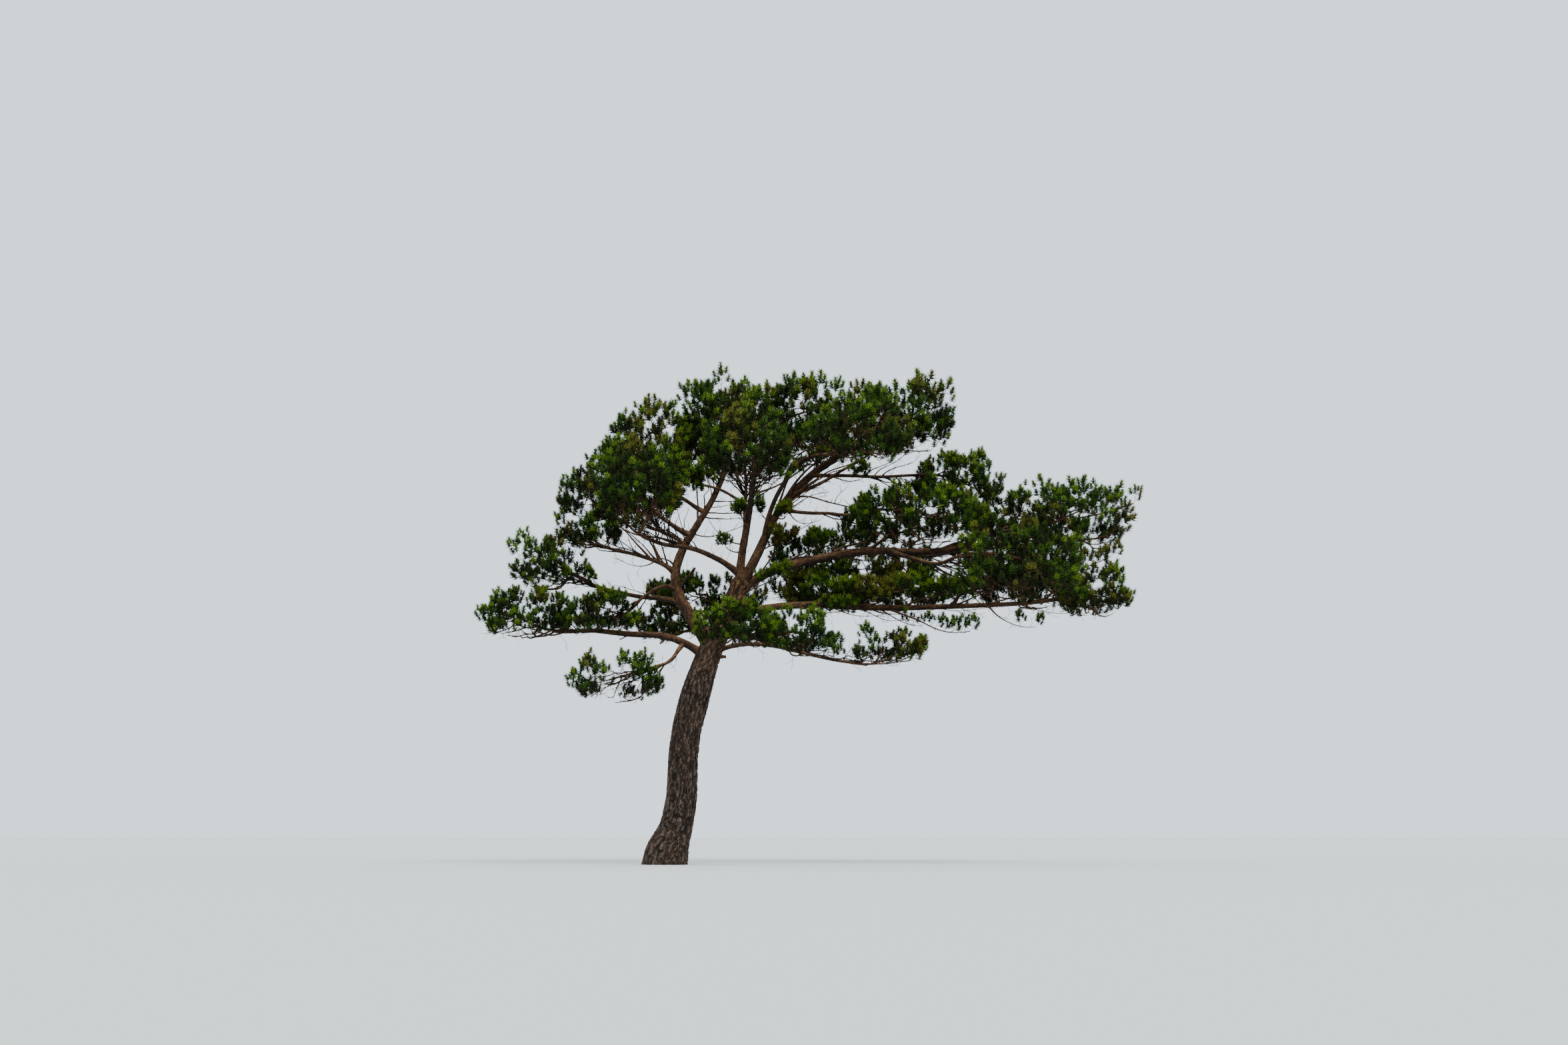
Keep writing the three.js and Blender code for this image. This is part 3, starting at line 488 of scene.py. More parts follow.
trunk_length = sum((a - b).length for a, b in zip(TRUNK_POINTS, TRUNK_POINTS[1:]))
count = round(trunk_length / TRUNK_RING)
points, radii = [], []
for i in range(count + 1):
    middle, radius = trunk_at(i / count)
    closing = max(0, 1 - (count - i) * TRUNK_RING / CLOSING)
    points.append(middle)
    radii.append(radius * math.sqrt(max(0.01, 1 - closing ** 2)))
rings = []
for point, side, across in rings_along(points):
    level = min(1, point.z / LEVEL_RINGS)
    side = mix(Vector((1, 0, 0)), side, level).normalized()
    ahead = side.cross(mix(Vector((0, 1, 0)), across, level)).normalized()
    rings.append((point, side, ahead.cross(side)))
bark = new_bark()
roll_limb(bark, rings, radii, TRUNK_AROUND, plated, swell=root_swell)
for vert in bark.verts:
    vert.co.z = max(0, vert.co.z)
trunk_bark = finish_mesh(bark, "trunk_bark")

# %% The boughs and the side limbs
BOUGH_RING = 32


def bark_over(name, grown, first, step, fewest, per_side):
    """One mesh of bark over some limbs, each with its own stretch of the relief."""
    bark = new_bark()
    for order, limb in enumerate(grown.values()):
        count = max(8, round(limb["length"] / BOUGH_RING))
        points = [limb["point_at"](i / count) for i in range(count + 1)]
        radii = [limb["radius_at"](i / count) for i in range(count + 1)]
        sides = fewest + round(limb["thick"] / per_side)
        roll_limb(bark, rings_along(points), radii, sides, flaking, Vector((0, 0, first + step * order)))
    return finish_mesh(bark, name)


boughs_bark = bark_over("boughs_bark", limbs, 0, 7000, 12, 12)
side_limbs_bark = bark_over("side_limbs_bark", side_limbs, -5000, -5000, 6, 8)

# %% [markdown]
# ## How a mass of needles grows
# A pine's crown is built by light: twigs reach for the places on the skin of the crown where there
# is some, and die inside it. So each mass deals points out over the skin of its space, by the
# golden angle and a seeded scatter, and grows a twig to each, the nearest first, from whatever has
# grown so far. A twig springs where the way is short, where it carries on forwards and where it
# isn't far from the stem. A first round grows the coarse sprays, and a second one fills in finer
# ones in the same space. Each stretch of wood is as thick as what it carries.

# %% Spaces
MASS_SEED = 7001
UNDERSIDE = 0.6
SPACE_POWER = 2.5
SPRAYS_PER_SQUARE_METRE = 1.9
FEWEST_SPRAYS = 6
FINE_PER_SQUARE_METRE = 16.5
FINE_SIZE = 0.76
BARE_BELOW = -0.45  # fine twigs that point down further than this have lost their needles
PAD = Vector((1 / 430, 1 / 430, 1 / 210))  # needles grow in pads about 0.4 m wide and 0.2 m high
PAD_GAP = -0.07
GOLDEN_ANGLE = math.pi * (3 - math.sqrt(5))
SCATTER = 0.35
SHELL, FINE_SHELL = (0.84, 1), (0.72, 1)
LIFT, FINE_LIFT = 0.55, 1.1
SPRAY_LENGTH = 400
SPRAY_MIDDLE, SPRAY_SIDE = 0.62, 190
SPRAY_SIZES = (0.8, 1.25)
SPACE_OF_A_FULL_SPRAY = 400
SPACE_MARGIN = 1.12


def space_of(name):
    """The middle and the half sizes of a mass's space, less below the middle than above it."""
    left, right, low, high, front, back, _ = MASSES[name]
    depth = (front + back) / 2
    share = 1 - depth / EYE.y
    middle = mix(low, high, UNDERSIDE / (1 + UNDERSIDE))
    return {"centre": place((left + right) / 2, middle, depth), "x": (right - left) / 2 * share,
            "y": (back - front) / 2, "above": (high - middle) * share, "below": (middle - low) * share}


def space_point(space, direction, share):
    height = space["above"] if direction.z > 0 else space["below"]
    share /= sum(abs(part) ** SPACE_POWER for part in direction) ** (1 / SPACE_POWER)
    return space["centre"] + Vector((direction.x * space["x"], direction.y * space["y"],
                                     direction.z * height)) * share


def reach_in(space, point):
    """How far out a point lies: 1 is on the skin."""
    off = point - space["centre"]
    height = space["above"] if off.z > 0 else space["below"]
    parts = (off.x / space["x"], off.y / space["y"], off.z / height)
    return sum(abs(part) ** SPACE_POWER for part in parts) ** (1 / SPACE_POWER)


def skin_of(space):
    high = (space["above"] + space["below"]) / 2
    return 4 * (space["x"] * space["y"] + space["x"] * high + space["y"] * high) / 1e6


def spray_tips(count, shell, draws):
    """Directions dealt out evenly over the skin, each with how far out it goes."""
    turn = next(draws) * math.pi * 2
    tips = []
    for i in range(count):
        height = 1 - 2 * (i + 0.5) / count
        around = turn + i * GOLDEN_ANGLE
        level = math.sqrt(1 - height * height)
        direction = Vector((level * math.cos(around), level * math.sin(around), height))
        for k in range(3):
            direction[k] += (next(draws) - 0.5) * SCATTER
        tips.append((direction.normalized(), mix(*shell, next(draws))))
    return tips


def spray_at(space, tip, size, pull, lift):
    """The root, the axis and the size of a spray whose point lies on the skin."""
    direction, share = tip
    top = space_point(space, direction, share * pull)
    axis = ((top - space["centre"]).normalized() + UP * lift).normalized()
    return top - axis * SPRAY_LENGTH * size * pull, axis, size * pull


def fits(space, spray):
    """True where the needles at the side of a spray stay in the space."""
    root, axis, size = spray
    middle = root + axis * SPRAY_LENGTH * SPRAY_MIDDLE * size
    side = axis.orthogonal().normalized() * SPRAY_SIDE * size
    across = axis.cross(side)
    return all(reach_in(space, middle + way) < SPACE_MARGIN for way in (side, -side, across, -across))


def is_bare(space, tip):
    """True where a fine twig has no needles: on the underside, and between two pads."""
    top = space_point(space, *tip)
    return tip[0].z < BARE_BELOW or noise.noise(Vector([top[k] * PAD[k] for k in range(3)])) < PAD_GAP


# %% Twigs
STEM_BEYOND = 0.45
TWIG_RADIUS = 4.5
TRUNK_STEM_RADIUS = 26
SPRING_STEP = 70
SPRINGS = 2
PATH_BIAS = 0.4
TURN_BIAS = 0.25
SAG = 0.14
CARRY_ON, TWIG_CROOK = 0.12, 0.16
TRIES = (1, 0.86, 0.72)
BARE_KEPT = 0.5


def curve_points(start, middle, end, step):
    """Points along a quadratic curve, about a step apart."""
    count = max(2, round((end - start).length / step))
    shares = [i / count for i in range(count + 1)]
    return [start * (1 - t) ** 2 + middle * (2 * t * (1 - t)) + end * t * t for t in shares]


def foot_of(name):
    """Where a mass starts: at its bough's tip, or in the trunk's side."""
    if name in ON_THE_TRUNK:
        height, compass = ON_THE_TRUNK[name]
        middle, radius = trunk_at(trunk_share(height))
        turn = math.radians(compass)
        ahead = Vector((math.cos(turn), math.sin(turn), 0.25)).normalized()
        return middle + ahead * radius * 0.8, ahead, TRUNK_STEM_RADIUS
    limb = limbs[name]
    ahead = (limb["tip"] - limb["point_at"](0.9)).normalized()
    return limb["tip"] - ahead * 12, ahead, limb["radius_at"](1) * 0.97


class Wood:
    """The places of a mass where twigs spring, grown on from its foot."""

    def __init__(self, foot):
        self.points, self.aheads, self.paths = [foot[0]], [foot[1]], [0.0]
        self.springs, self.parents, self.loads = [SPRINGS], [None], [0]

    def add_place(self, point, ahead, path, springs, parent):
        self.points.append(point)
        self.aheads.append(ahead.normalized())
        self.paths.append(path)
        self.springs.append(springs)
        self.parents.append(parent)
        self.loads.append(0)

    def add_limb(self, limb):
        """The outer part of the mass's own bough, where twigs may spring too."""
        for i in range(1, 13):
            share = 1 - 0.05 * i
            point = limb["point_at"](share)
            self.add_place(point, limb["point_at"](share + 0.02) - point, 0.0, 0, None)

    def grow(self, start, points, open_end):
        """Adds a twig or stem over the points, and returns its places from its start on."""
        places = [start]
        for i, (a, b) in enumerate(zip(points, points[1:])):
            self.add_place(b, b - a, self.paths[places[-1]] + (b - a).length,
                           0 if open_end or i < len(points) - 2 else SPRINGS, places[-1])
            places.append(len(self.points) - 1)
        return places

    def best_spring(self, root):
        """The place that a twig to this root springs from most easily."""
        way = np.array(root) - np.array(self.points)
        far = np.linalg.norm(way, axis=1) + 1e-6
        turn = 1 - np.einsum("ij,ij->i", way / far[:, None], np.array(self.aheads))
        cost = far * (1 + TURN_BIAS * turn) + PATH_BIAS * np.array(self.paths)
        cost[np.array(self.springs) >= SPRINGS] = 1e9
        best = int(np.argmin(cost))
        return best, float(far[best])

    def carry(self, place):
        while place is not None:
            self.loads[place] += 1
            place = self.parents[place]


def grow_mass(name, order):
    """Grows one mass. Returns its sprays, and its wood as paths of places with their radii."""
    space, foot = space_of(name), foot_of(name)
    small = min(space["x"], space["y"], (space["above"] + space["below"]) / 2)
    size = min(SPRAY_SIZES[1], max(SPRAY_SIZES[0], small / SPACE_OF_A_FULL_SPRAY))
    way = space["centre"] - foot[0]
    stem = curve_points(foot[0], foot[0] + foot[1] * way.length * 0.7,
                        space["centre"] + way * STEM_BEYOND, SPRING_STEP)
    wood = Wood(foot)
    if name in limbs:
        wood.add_limb(limbs[name])
    paths = [wood.grow(0, stem, True)]
    skin, seed = skin_of(space), MASS_SEED + 13 * order
    coarse = max(FEWEST_SPRAYS, round(skin * SPRAYS_PER_SQUARE_METRE))
    fine = round(skin * FINE_PER_SQUARE_METRE * MASSES[name][6])
    rounds = [(spray_tips(coarse, SHELL, seeded(seed)), size, LIFT),
              (spray_tips(fine, FINE_SHELL, seeded(seed + 5)), size * FINE_SIZE, FINE_LIFT)]
    crooks = seeded(seed + 9)
    sprays = []
    for tips, full, lift in rounds:
        tips.sort(key=lambda tip: (spray_at(space, tip, full, 1, lift)[0] - foot[0]).length)
        for tip in tips:
            tries = (spray_at(space, tip, full, pull, lift) for pull in TRIES)
            spray = next((s for s in tries if fits(space, s)), None)
            if spray is None:
                continue
            bare = lift == FINE_LIFT and is_bare(space, tip)
            if bare and next(crooks) > BARE_KEPT:
                continue
            spring, far = wood.best_spring(spray[0])
            start = wood.points[spring]
            middle = start.lerp(spray[0], 0.5) + wood.aheads[spring] * far * CARRY_ON - UP * far * SAG
            middle += Vector([next(crooks) - 0.5 for _ in range(3)]) * far * TWIG_CROOK
            wood.springs[spring] += 1
            places = wood.grow(spring, curve_points(start, middle, spray[0], SPRING_STEP), False)
            wood.carry(places[-1])
            paths.append(places)
            if not bare:
                sprays.append((spray, space))
    power = math.log(foot[2] / TWIG_RADIUS) / math.log(max(2, len(sprays)))
    radii = [TWIG_RADIUS * max(1, load) ** power for load in wood.loads]
    twigs = []
    for i, path in enumerate(paths):
        thick = [radii[place] for place in path]
        if i:
            thick[0] = thick[1]
        twigs.append(([wood.points[place] for place in path], thick))
    return sprays, twigs


sprays, twigs = [], []
for order, name in enumerate(MASSES):
    grown = grow_mass(name, order)
    sprays += grown[0]
    twigs += grown[1]
print(len(sprays), "sprays on", len(twigs), "twigs")

# %% [markdown]
# ## Tufts on the side limbs
# A side limb that gets some light keeps a few small sprays on its outer half. The last one carries
# on where the limb points, and the others turn up more.

# %% Sprays on the side limbs
TUFT_SEED = 313
TUFT_SPACE = 230
TUFT_SIZES = (0.5, 0.72)
TUFT_AHEAD = (0.9, 0.3)  # how much the last one and the others follow the limb

draws = seeded(TUFT_SEED)
for name, limb in side_limbs.items():
    tufts = int(SIDE_LIMBS[name][10])
    for i in range(tufts):
        share = 1 - 0.5 * i / tufts
        ahead = (limb["point_at"](share) - limb["point_at"](share - 0.1)).normalized()
        way = Vector([next(draws) - 0.5 for _ in range(3)])
        axis = (ahead * TUFT_AHEAD[i > 0] + UP * 0.8 + way * 0.9).normalized()
        root = limb["point_at"](share)
        space = {"centre": root - UP * 30, **dict.fromkeys(("x", "y", "above", "below"), TUFT_SPACE)}
        sprays.append(((root, axis, mix(*TUFT_SIZES, next(draws))), space))
print(len(sprays), "sprays in all")

# %% [markdown]
# ## Joined meshes from arrays
# The crown has thousands of twigs and hundreds of thousands of needles. One object each would
# choke Blender, so all of a kind are laid out in arrays of numbers and handed over as one mesh. A
# twig is a tube with a few sides that ends in a point.

# %% Array helpers
def joined(name, spots, faces):
    """One object from an array of vertices in mm and an array of triangles."""
    mesh = bpy.data.meshes.new(name)
    mesh.vertices.add(len(spots))
    mesh.vertices.foreach_set("co", (spots * MM).astype(np.float32).ravel())
    mesh.loops.add(3 * len(faces))
    mesh.loops.foreach_set("vertex_index", faces.astype(np.int32).ravel())
    mesh.polygons.add(len(faces))
    mesh.polygons.foreach_set("loop_start", np.arange(0, 3 * len(faces), 3, dtype=np.int32))
    mesh.update(calc_edges=True)
    return new_piece(name, mesh)


def unit(vectors):
    return vectors / np.maximum(np.linalg.norm(vectors, axis=-1, keepdims=True), 1e-9)


def tubes(paths, radii, sides):
    """Many tubes with the same number of points each: paths (n, k, 3) and radii (n, k) in mm."""
    n, k = radii.shape
    ahead = unit(paths[:, -1] - paths[:, 0])
    guide = np.where(np.abs(ahead[:, 2:]) > 0.9, [[1.0, 0, 0]], [[0, 0, 1.0]])
    side = unit(np.cross(ahead, guide))
    across = np.cross(ahead, side)
    turn = np.arange(sides) * 2 * np.pi / sides
    circle = side[:, None] * np.cos(turn)[None, :, None] + across[:, None] * np.sin(turn)[None, :, None]
    walls = paths[:, :-1, None] + circle[:, None] * radii[:, :-1, None, None]
    spots = np.concatenate([walls.reshape(n, -1, 3), paths[:, -1:]], axis=1)
    faces = [(0, i + 1, i) for i in range(1, sides - 1)]
    for ring in range(k - 2):
        for i in range(sides):
            a, b = ring * sides + i, ring * sides + (i + 1) % sides
            faces += [(a, b, b + sides), (a, b + sides, a + sides)]
    base, tip = (k - 2) * sides, (k - 1) * sides
    faces += [(base + i, base + (i + 1) % sides, tip) for i in range(sides)]
    faces = np.array(faces)[None] + (np.arange(n) * spots.shape[1])[:, None, None]
    return spots.reshape(-1, 3), faces.reshape(-1, 3)


def tube(points, thick, sides):
    return tubes(np.array([points], dtype=float), np.array([thick], dtype=float), sides)


def stacked(parts):
    """Several (vertices, triangles) pairs as one."""
    starts = np.cumsum([0] + [len(spots) for spots, _ in parts])
    return (np.concatenate([spots for spots, _ in parts]),
            np.concatenate([faces + start for (_, faces), start in zip(parts, starts)]))


# %% Stems and twigs
parts = []
for points, thick in twigs:
    parts.append(tube(points, thick, 7 if thick[0] > 14 else 5 if thick[0] > 8 else 4))
twig_wood = joined("twig_wood", *stacked(parts))

# %% [markdown]
# ## Dead limbs and bare twigs
# Under its needles a pine keeps dead wood for years, on the underside of every layer and along the
# limbs. It closes the view into the crown from below. Thin dead limbs fan out from each bough to
# the underside of its needles. A bare twig is a short walk of four steps that turns a little at
# every step, with a fork half way, and all of them are walked at a time in arrays.

# %% Dead limbs
FANS_PER_SQUARE_METRE = 6
FAN_REACH = 1000
FAN_RADII = (8.5, 2.5)
FAN_SWING, FAN_SAG = 0.22, 0.06  # of its length, ahead and down at its middle
FAN_STEP, FAN_CROOK = 120, 60


def fan_under(name, order):
    """Thin dead limbs from a mass's own bough to the underside of its needles."""
    space, draws = space_of(name), seeded(MASS_SEED + 13 * order + 11)
    paths = []
    for _ in range(round(skin_of(space) * FANS_PER_SQUARE_METRE)):
        around, height = next(draws) * 2 * math.pi, -0.1 - 0.6 * next(draws)
        level = math.sqrt(1 - height * height)
        direction = Vector((level * math.cos(around), level * math.sin(around), height))
        end = space_point(space, direction, mix(0.72, 1.08, next(draws)))
        share = mix(0.45, 0.98, next(draws))
        start = limbs[name]["point_at"](share)
        ahead = (limbs[name]["point_at"](share + 0.02) - start).normalized()
        far = (end - start).length
        if far > FAN_REACH:
            continue
        middle = start.lerp(end, 0.5) + ahead * far * FAN_SWING - UP * far * FAN_SAG
        points = curve_points(start, middle, end, FAN_STEP)
        for point in points[1:-1]:
            point += Vector([next(draws) - 0.5 for _ in range(3)]) * FAN_CROOK
        paths.append((points, [mix(*FAN_RADII, i / (len(points) - 1)) for i in range(len(points))]))
    return paths


dead_limbs = []
for order, name in enumerate(MASSES):
    if name in limbs:
        dead_limbs += fan_under(name, order)
print(len(dead_limbs), "dead limbs")

# %% Bare twigs
BARE_STEP = 95  # mm between two of them on a limb
BARE_SHARE = 0.2  # of the places on the twigs of the masses
BARE_LENGTH = (110, 330)
BARE_RADIUS = 3.4
BARE_TURN, BARE_RISE = 0.42, 0.12  # how much a twig turns and turns up at each step

rng = np.random.default_rng(2207)
up = np.array([[0.0, 0.0, 1.0]])
starts, aheads = [], []
for limb in [*limbs.values(), *side_limbs.values()]:
    for i in range(round(0.8 * limb["length"] / BARE_STEP)):
        share = 0.2 + (i + rng.uniform()) * BARE_STEP / limb["length"]
        starts.append(limb["point_at"](share))
        aheads.append((limb["point_at"](share + 0.02) - limb["point_at"](share - 0.02)).normalized())
for points, _ in twigs + dead_limbs:
    for i in range(1, len(points) - 1):
        if rng.uniform() < BARE_SHARE:
            starts.append(points[i])
            aheads.append((points[i + 1] - points[i - 1]).normalized())


def walk(starts, ways, lengths, steps):
    """Crooked paths of some steps each."""
    spots, ways = [starts], unit(ways)
    for _ in range(steps):
        ways = unit(ways + BARE_TURN * rng.normal(size=ways.shape) + BARE_RISE * up)
        spots.append(spots[-1] + ways * lengths[:, None] / steps)
    return np.stack(spots, axis=1)


starts, aheads = np.array(starts), np.array(aheads)
sideways = unit(np.cross(aheads, rng.normal(size=aheads.shape)))
lengths = rng.uniform(*BARE_LENGTH, len(starts)) * rng.uniform(0.7, 1.1, len(starts))
walks = walk(starts, aheads * 0.7 + sideways * 0.8 + up * 0.1, lengths, 4)
thin = np.array([1, 0.8, 0.65, 0.5, 0.3])
forked = walks[np.arange(len(starts)), rng.integers(1, 3, len(starts))]
fork_ways = unit(walks[:, 3] - walks[:, 1]) + unit(rng.normal(size=forked.shape))
forks = walk(forked, fork_ways, lengths * 0.55, 3)
parts = [tubes(walks, np.tile(BARE_RADIUS * thin, (len(walks), 1)), 3),
         tubes(forks, np.tile(BARE_RADIUS * thin[1:], (len(forks), 1)), 3)]
parts += [tube(points, thick, 4) for points, thick in dead_limbs]
bare_twigs = joined("bare_twigs", *stacked(parts))

# %% [markdown]
# ## The sprays
# On a pine a spray is last year's shoot with this year's round it: a short axis, side shoots that
# leave it at wide angles near the root and narrow ones near the top, all of them turning up to the
# light. The needles sit only on the outer part of each shoot, like a bottle brush. One shoot of
# every spray is worked out at a time for the whole tree, which arrays do at once.

# %% Shoots
root = np.array([spray[0] for spray, _ in sprays])
axis = np.array([spray[1] for spray, _ in sprays])
size = np.array([spray[2] for spray, _ in sprays])[:, None]
centre = np.array([space["centre"] for _, space in sprays])
halves = np.array([(space["x"], space["y"], space["above"], space["below"]) for _, space in sprays])
SHOOTS = 7
SHOOT_SHARES = (0.2, 0.92)  # of the axis
SHOOT_LEANS = (72, 46)
SHOOT_LENGTHS = (205, 115)
AXIS_LENGTH = 310
AXIS_RADII = np.array([[4.4, 3.6, 1.5]])
SHOOT_RADII = np.array([[3.0, 2.4, 1.4]])
BRUSH_LENGTH = 116
CLEAR_OF_WOOD = 45
BOUGH_SAMPLES = 24  # places along each bough where that is tested

count = len(root)
first_side = unit(np.cross(axis, unit(rng.normal(size=(count, 3)))))
second_side = np.cross(axis, first_side)
turn = rng.uniform(0, 2 * np.pi, (count, 1))
axis_end = root + unit(axis + 0.15 * up) * AXIS_LENGTH * size
axis_middle = (root + axis_end) / 2 - up * 6 * size
shoot_paths = [np.stack([root, axis_middle, axis_end], axis=1)]
shoot_radii = [AXIS_RADII * size]
for i in range(SHOOTS):
    share = mix(*SHOOT_SHARES, i / (SHOOTS - 1)) + rng.uniform(-0.05, 0.05, (count, 1))
    around = turn + i * GOLDEN_ANGLE + rng.uniform(-0.4, 0.4, (count, 1))
    lean = np.radians(mix(*SHOOT_LEANS, share) + rng.uniform(-9, 9, (count, 1)))
    outward = first_side * np.cos(around) + second_side * np.sin(around)
    leave = axis * np.cos(lean) + outward * np.sin(lean)
    length = mix(*SHOOT_LENGTHS, share) * size * rng.uniform(0.8, 1.2, (count, 1))
    start = root + (axis_middle - root) * 2 * np.minimum(share, 0.5) \
        + (axis_end - axis_middle) * 2 * np.maximum(share - 0.5, 0)
    middle = start + leave * length * 0.55
    end = middle + unit(leave * 0.55 + up * 0.6 + axis * 0.2) * length * 0.45
    shoot_paths.append(np.stack([start, middle, end], axis=1))
    shoot_radii.append(SHOOT_RADII * size)
shoot_paths = np.concatenate(shoot_paths)
shoot_radii = np.concatenate(shoot_radii)
shoot_spray = np.tile(np.arange(count), SHOOTS + 1)


def reach_of(points, which):
    """How far out each point lies in the space of its spray."""
    off = points - centre[which]
    half = halves[which]
    height = np.where(off[:, 2] > 0, half[:, 2], half[:, 3])
    parts = np.abs(off / np.stack([half[:, 0], half[:, 1], height], axis=1))
    return (parts ** SPACE_POWER).sum(axis=1) ** (1 / SPACE_POWER)


shares = [i / BOUGH_SAMPLES for i in range(BOUGH_SAMPLES + 1)]
wood_points = np.array([limb["point_at"](share) for limb in limbs.values() for share in shares])
wood_radii = np.array([limb["radius_at"](share) for limb in limbs.values() for share in shares])
kept = reach_of(shoot_paths[:, 2], shoot_spray) < SPACE_MARGIN
for i in np.flatnonzero(kept):
    far = np.linalg.norm(wood_points - shoot_paths[i, 2], axis=1) - wood_radii
    kept[i] = far.min() > CLEAR_OF_WOOD
wooden = kept.copy()
wooden[:count] |= np.isin(np.arange(count), shoot_spray[kept])  # an axis carries the side shoots
shoot_wood = joined("shoot_wood", *tubes(shoot_paths[wooden], shoot_radii[wooden], 3))
shoot_paths, shoot_spray = shoot_paths[kept], shoot_spray[kept]
print(len(shoot_paths), "shoots kept of", len(kept))

# %% [markdown]
# ## A brush of needles
# The needles of such a pine stand in pairs, 5 to 7 cm long, all round the shoot. They leave it nearly
# square at the bottom of the brush and close up round the bud at its end. A pair is two long narrow faces
# that spread from one short edge, and is wider than life, since it stands for a few. It starts as a circle
# of four vertices cut in two, whose cut becomes the short edge, and is copied and turned round the shoot.
# The lower needles are last year's and the upper ones this year's, and the two are kept apart, because the
# young ones are brighter and the old ones get a deeper tint, partly their own older colour and partly
# painted shade at the foot of the brush.

# %% Needle and brush
PAIRS = {"old": (11, 0.0, 0.42), "young": (18, 0.36, 1.0)}  # how many, from and to a share of the brush
NEEDLE_LENGTH = 60
NEEDLE_WIDTH = 8.9
PAIR_SPREAD = 17
NEEDLE_LEANS = (80, 22)
NEEDLE_FOOT = 0.62
BRUSHES = 6
BRUSH_SEED = 401


def brush(age, seed):
    """The vertices in mm and the triangles of one age of needles, on a shoot along +Z."""
    draws = seeded(seed)
    pairs, low, high = PAIRS[age]
    bm = bmesh.new()
    bmesh.ops.create_circle(bm, cap_ends=True, radius=1, segments=4)
    bmesh.ops.connect_verts(bm, verts=[vert for vert in bm.verts if abs(vert.co.y) > 0.5])
    for vert in bm.verts:
        along = abs(vert.co.x)
        vert.co = Vector((vert.co.x * PAIR_SPREAD, vert.co.y * NEEDLE_WIDTH / 2, along * NEEDLE_LENGTH))
    pattern = list(bm.verts) + list(bm.edges) + list(bm.faces)
    for i in range(pairs):
        share = mix(low, high, (i + 0.5) / pairs)
        lean = math.radians(mix(*NEEDLE_LEANS, share ** 1.3) + (next(draws) - 0.5) * 24)
        copy = bmesh.ops.duplicate(bm, geom=pattern)["geom"]
        verts = [item for item in copy if isinstance(item, bmesh.types.BMVert)]
        longer = (1.1 - 0.34 * share) * (0.88 + 0.24 * next(draws))
        bmesh.ops.scale(bm, verts=verts, vec=Vector((1, 1, longer)))
        for turn, way in ((1.5 * (next(draws) - 0.5), "Z"), (lean, "X"), (i * GOLDEN_ANGLE, "Z")):
            bmesh.ops.rotate(bm, verts=verts, matrix=Matrix.Rotation(turn, 3, way))
        bmesh.ops.translate(bm, verts=verts, vec=UP * (BRUSH_LENGTH - NEEDLE_FOOT * NEEDLE_LENGTH) * share)
    bmesh.ops.delete(bm, geom=[item for item in pattern if isinstance(item, bmesh.types.BMVert)])
    bmesh.ops.triangulate(bm, faces=bm.faces)
    bm.verts.index_update()
    spots = np.array([vert.co for vert in bm.verts])
    faces = np.array([[vert.index for vert in face.verts] for face in bm.faces])
    bm.free()
    return spots, faces


brushes = {age: [brush(age, BRUSH_SEED + i) for i in range(BRUSHES)] for age in PAIRS}
print("a brush has", sum(len(kinds[0][1]) for kinds in brushes.values()), "triangles")

# %% [markdown]
# ## Greens
# The needles of one crown aren't one green, and here and there a whole part turns to olive where the wind
# dries it. The tints also paint light and shade: brushes far out and high up in a mass get the brighter
# ones as painted light, those deep inside and low down the deeper ones as painted shade, and the far side
# gets more olive as painted shade. A pattern in a material would cut through the sprays, so each brush is
# dealt a tint instead, by how far out and how high up it sits, with some chance. Its old needles get the
# next deeper one, partly their own older colour and partly painted shade at the foot of the brush.

# %% Deal out the greens
GREENS = {  # each with the tint of the old needles below it, deeper as their own older colour and as painted shade at the foot of the brush
    "deep": ("#131e05", "deep"), "dark": ("#1f3207", "deep"), "middle": ("#344e0e", "dark"),
    "fresh": ("#577119", "dark"), "olive_dark": ("#2e2f08", "deep"), "olive": ("#5d5e1c", "olive_dark"),
}
GREEN_STEPS, OLIVE_STEPS = [0.16, 0.42, 0.74], [0.16, 0.5]
PATCH_SIZE = 600  # mm, of one green or olive part of the crown
OLIVE_SHARE = 0.3
BATCH = 1500  # brushes laid out at a time
MOST_IN_A_PIECE = 195000

ends = shoot_paths[:, 2]
reach = reach_of(ends, shoot_spray)
height_in = (ends[:, 2] - centre[shoot_spray, 2]) / (halves[shoot_spray, 2] + halves[shoot_spray, 3])
# painted light and shade: the further out and the higher up a brush sits, the brighter its tint, with some
# chance
light = 1.4 * (reach - 0.8) + 0.55 * height_in + rng.normal(0, 0.16, len(ends))
painted_light_rank = np.argsort(np.argsort(light)) / len(ends)
patches = np.array([noise.noise(Vector(end) / PATCH_SIZE) for end in ends]) + rng.normal(0, 0.1, len(ends))
patches += 0.12 * MM * ends[:, 1]  # painted shade: the far side, away from the camera, has more of it
is_olive = np.argsort(np.argsort(-patches)) / len(ends) < OLIVE_SHARE
words = np.where(is_olive, np.array(["deep", "olive_dark", "olive"])[np.digitize(painted_light_rank, OLIVE_STEPS)],
                 np.array(["deep", "dark", "middle", "fresh"])[np.digitize(painted_light_rank, GREEN_STEPS)])

ahead = unit(unit(ends - shoot_paths[:, 1]) + 0.45 * up)
side = unit(np.cross(ahead, unit(rng.normal(size=ahead.shape))))
turned = np.stack([side, np.cross(ahead, side), ahead], axis=2)
grown = rng.uniform(0.88, 1.14, len(ends)) * np.sqrt(size[shoot_spray, 0])
starts = ends - ahead * (BRUSH_LENGTH * NEEDLE_FOOT) * grown[:, None]


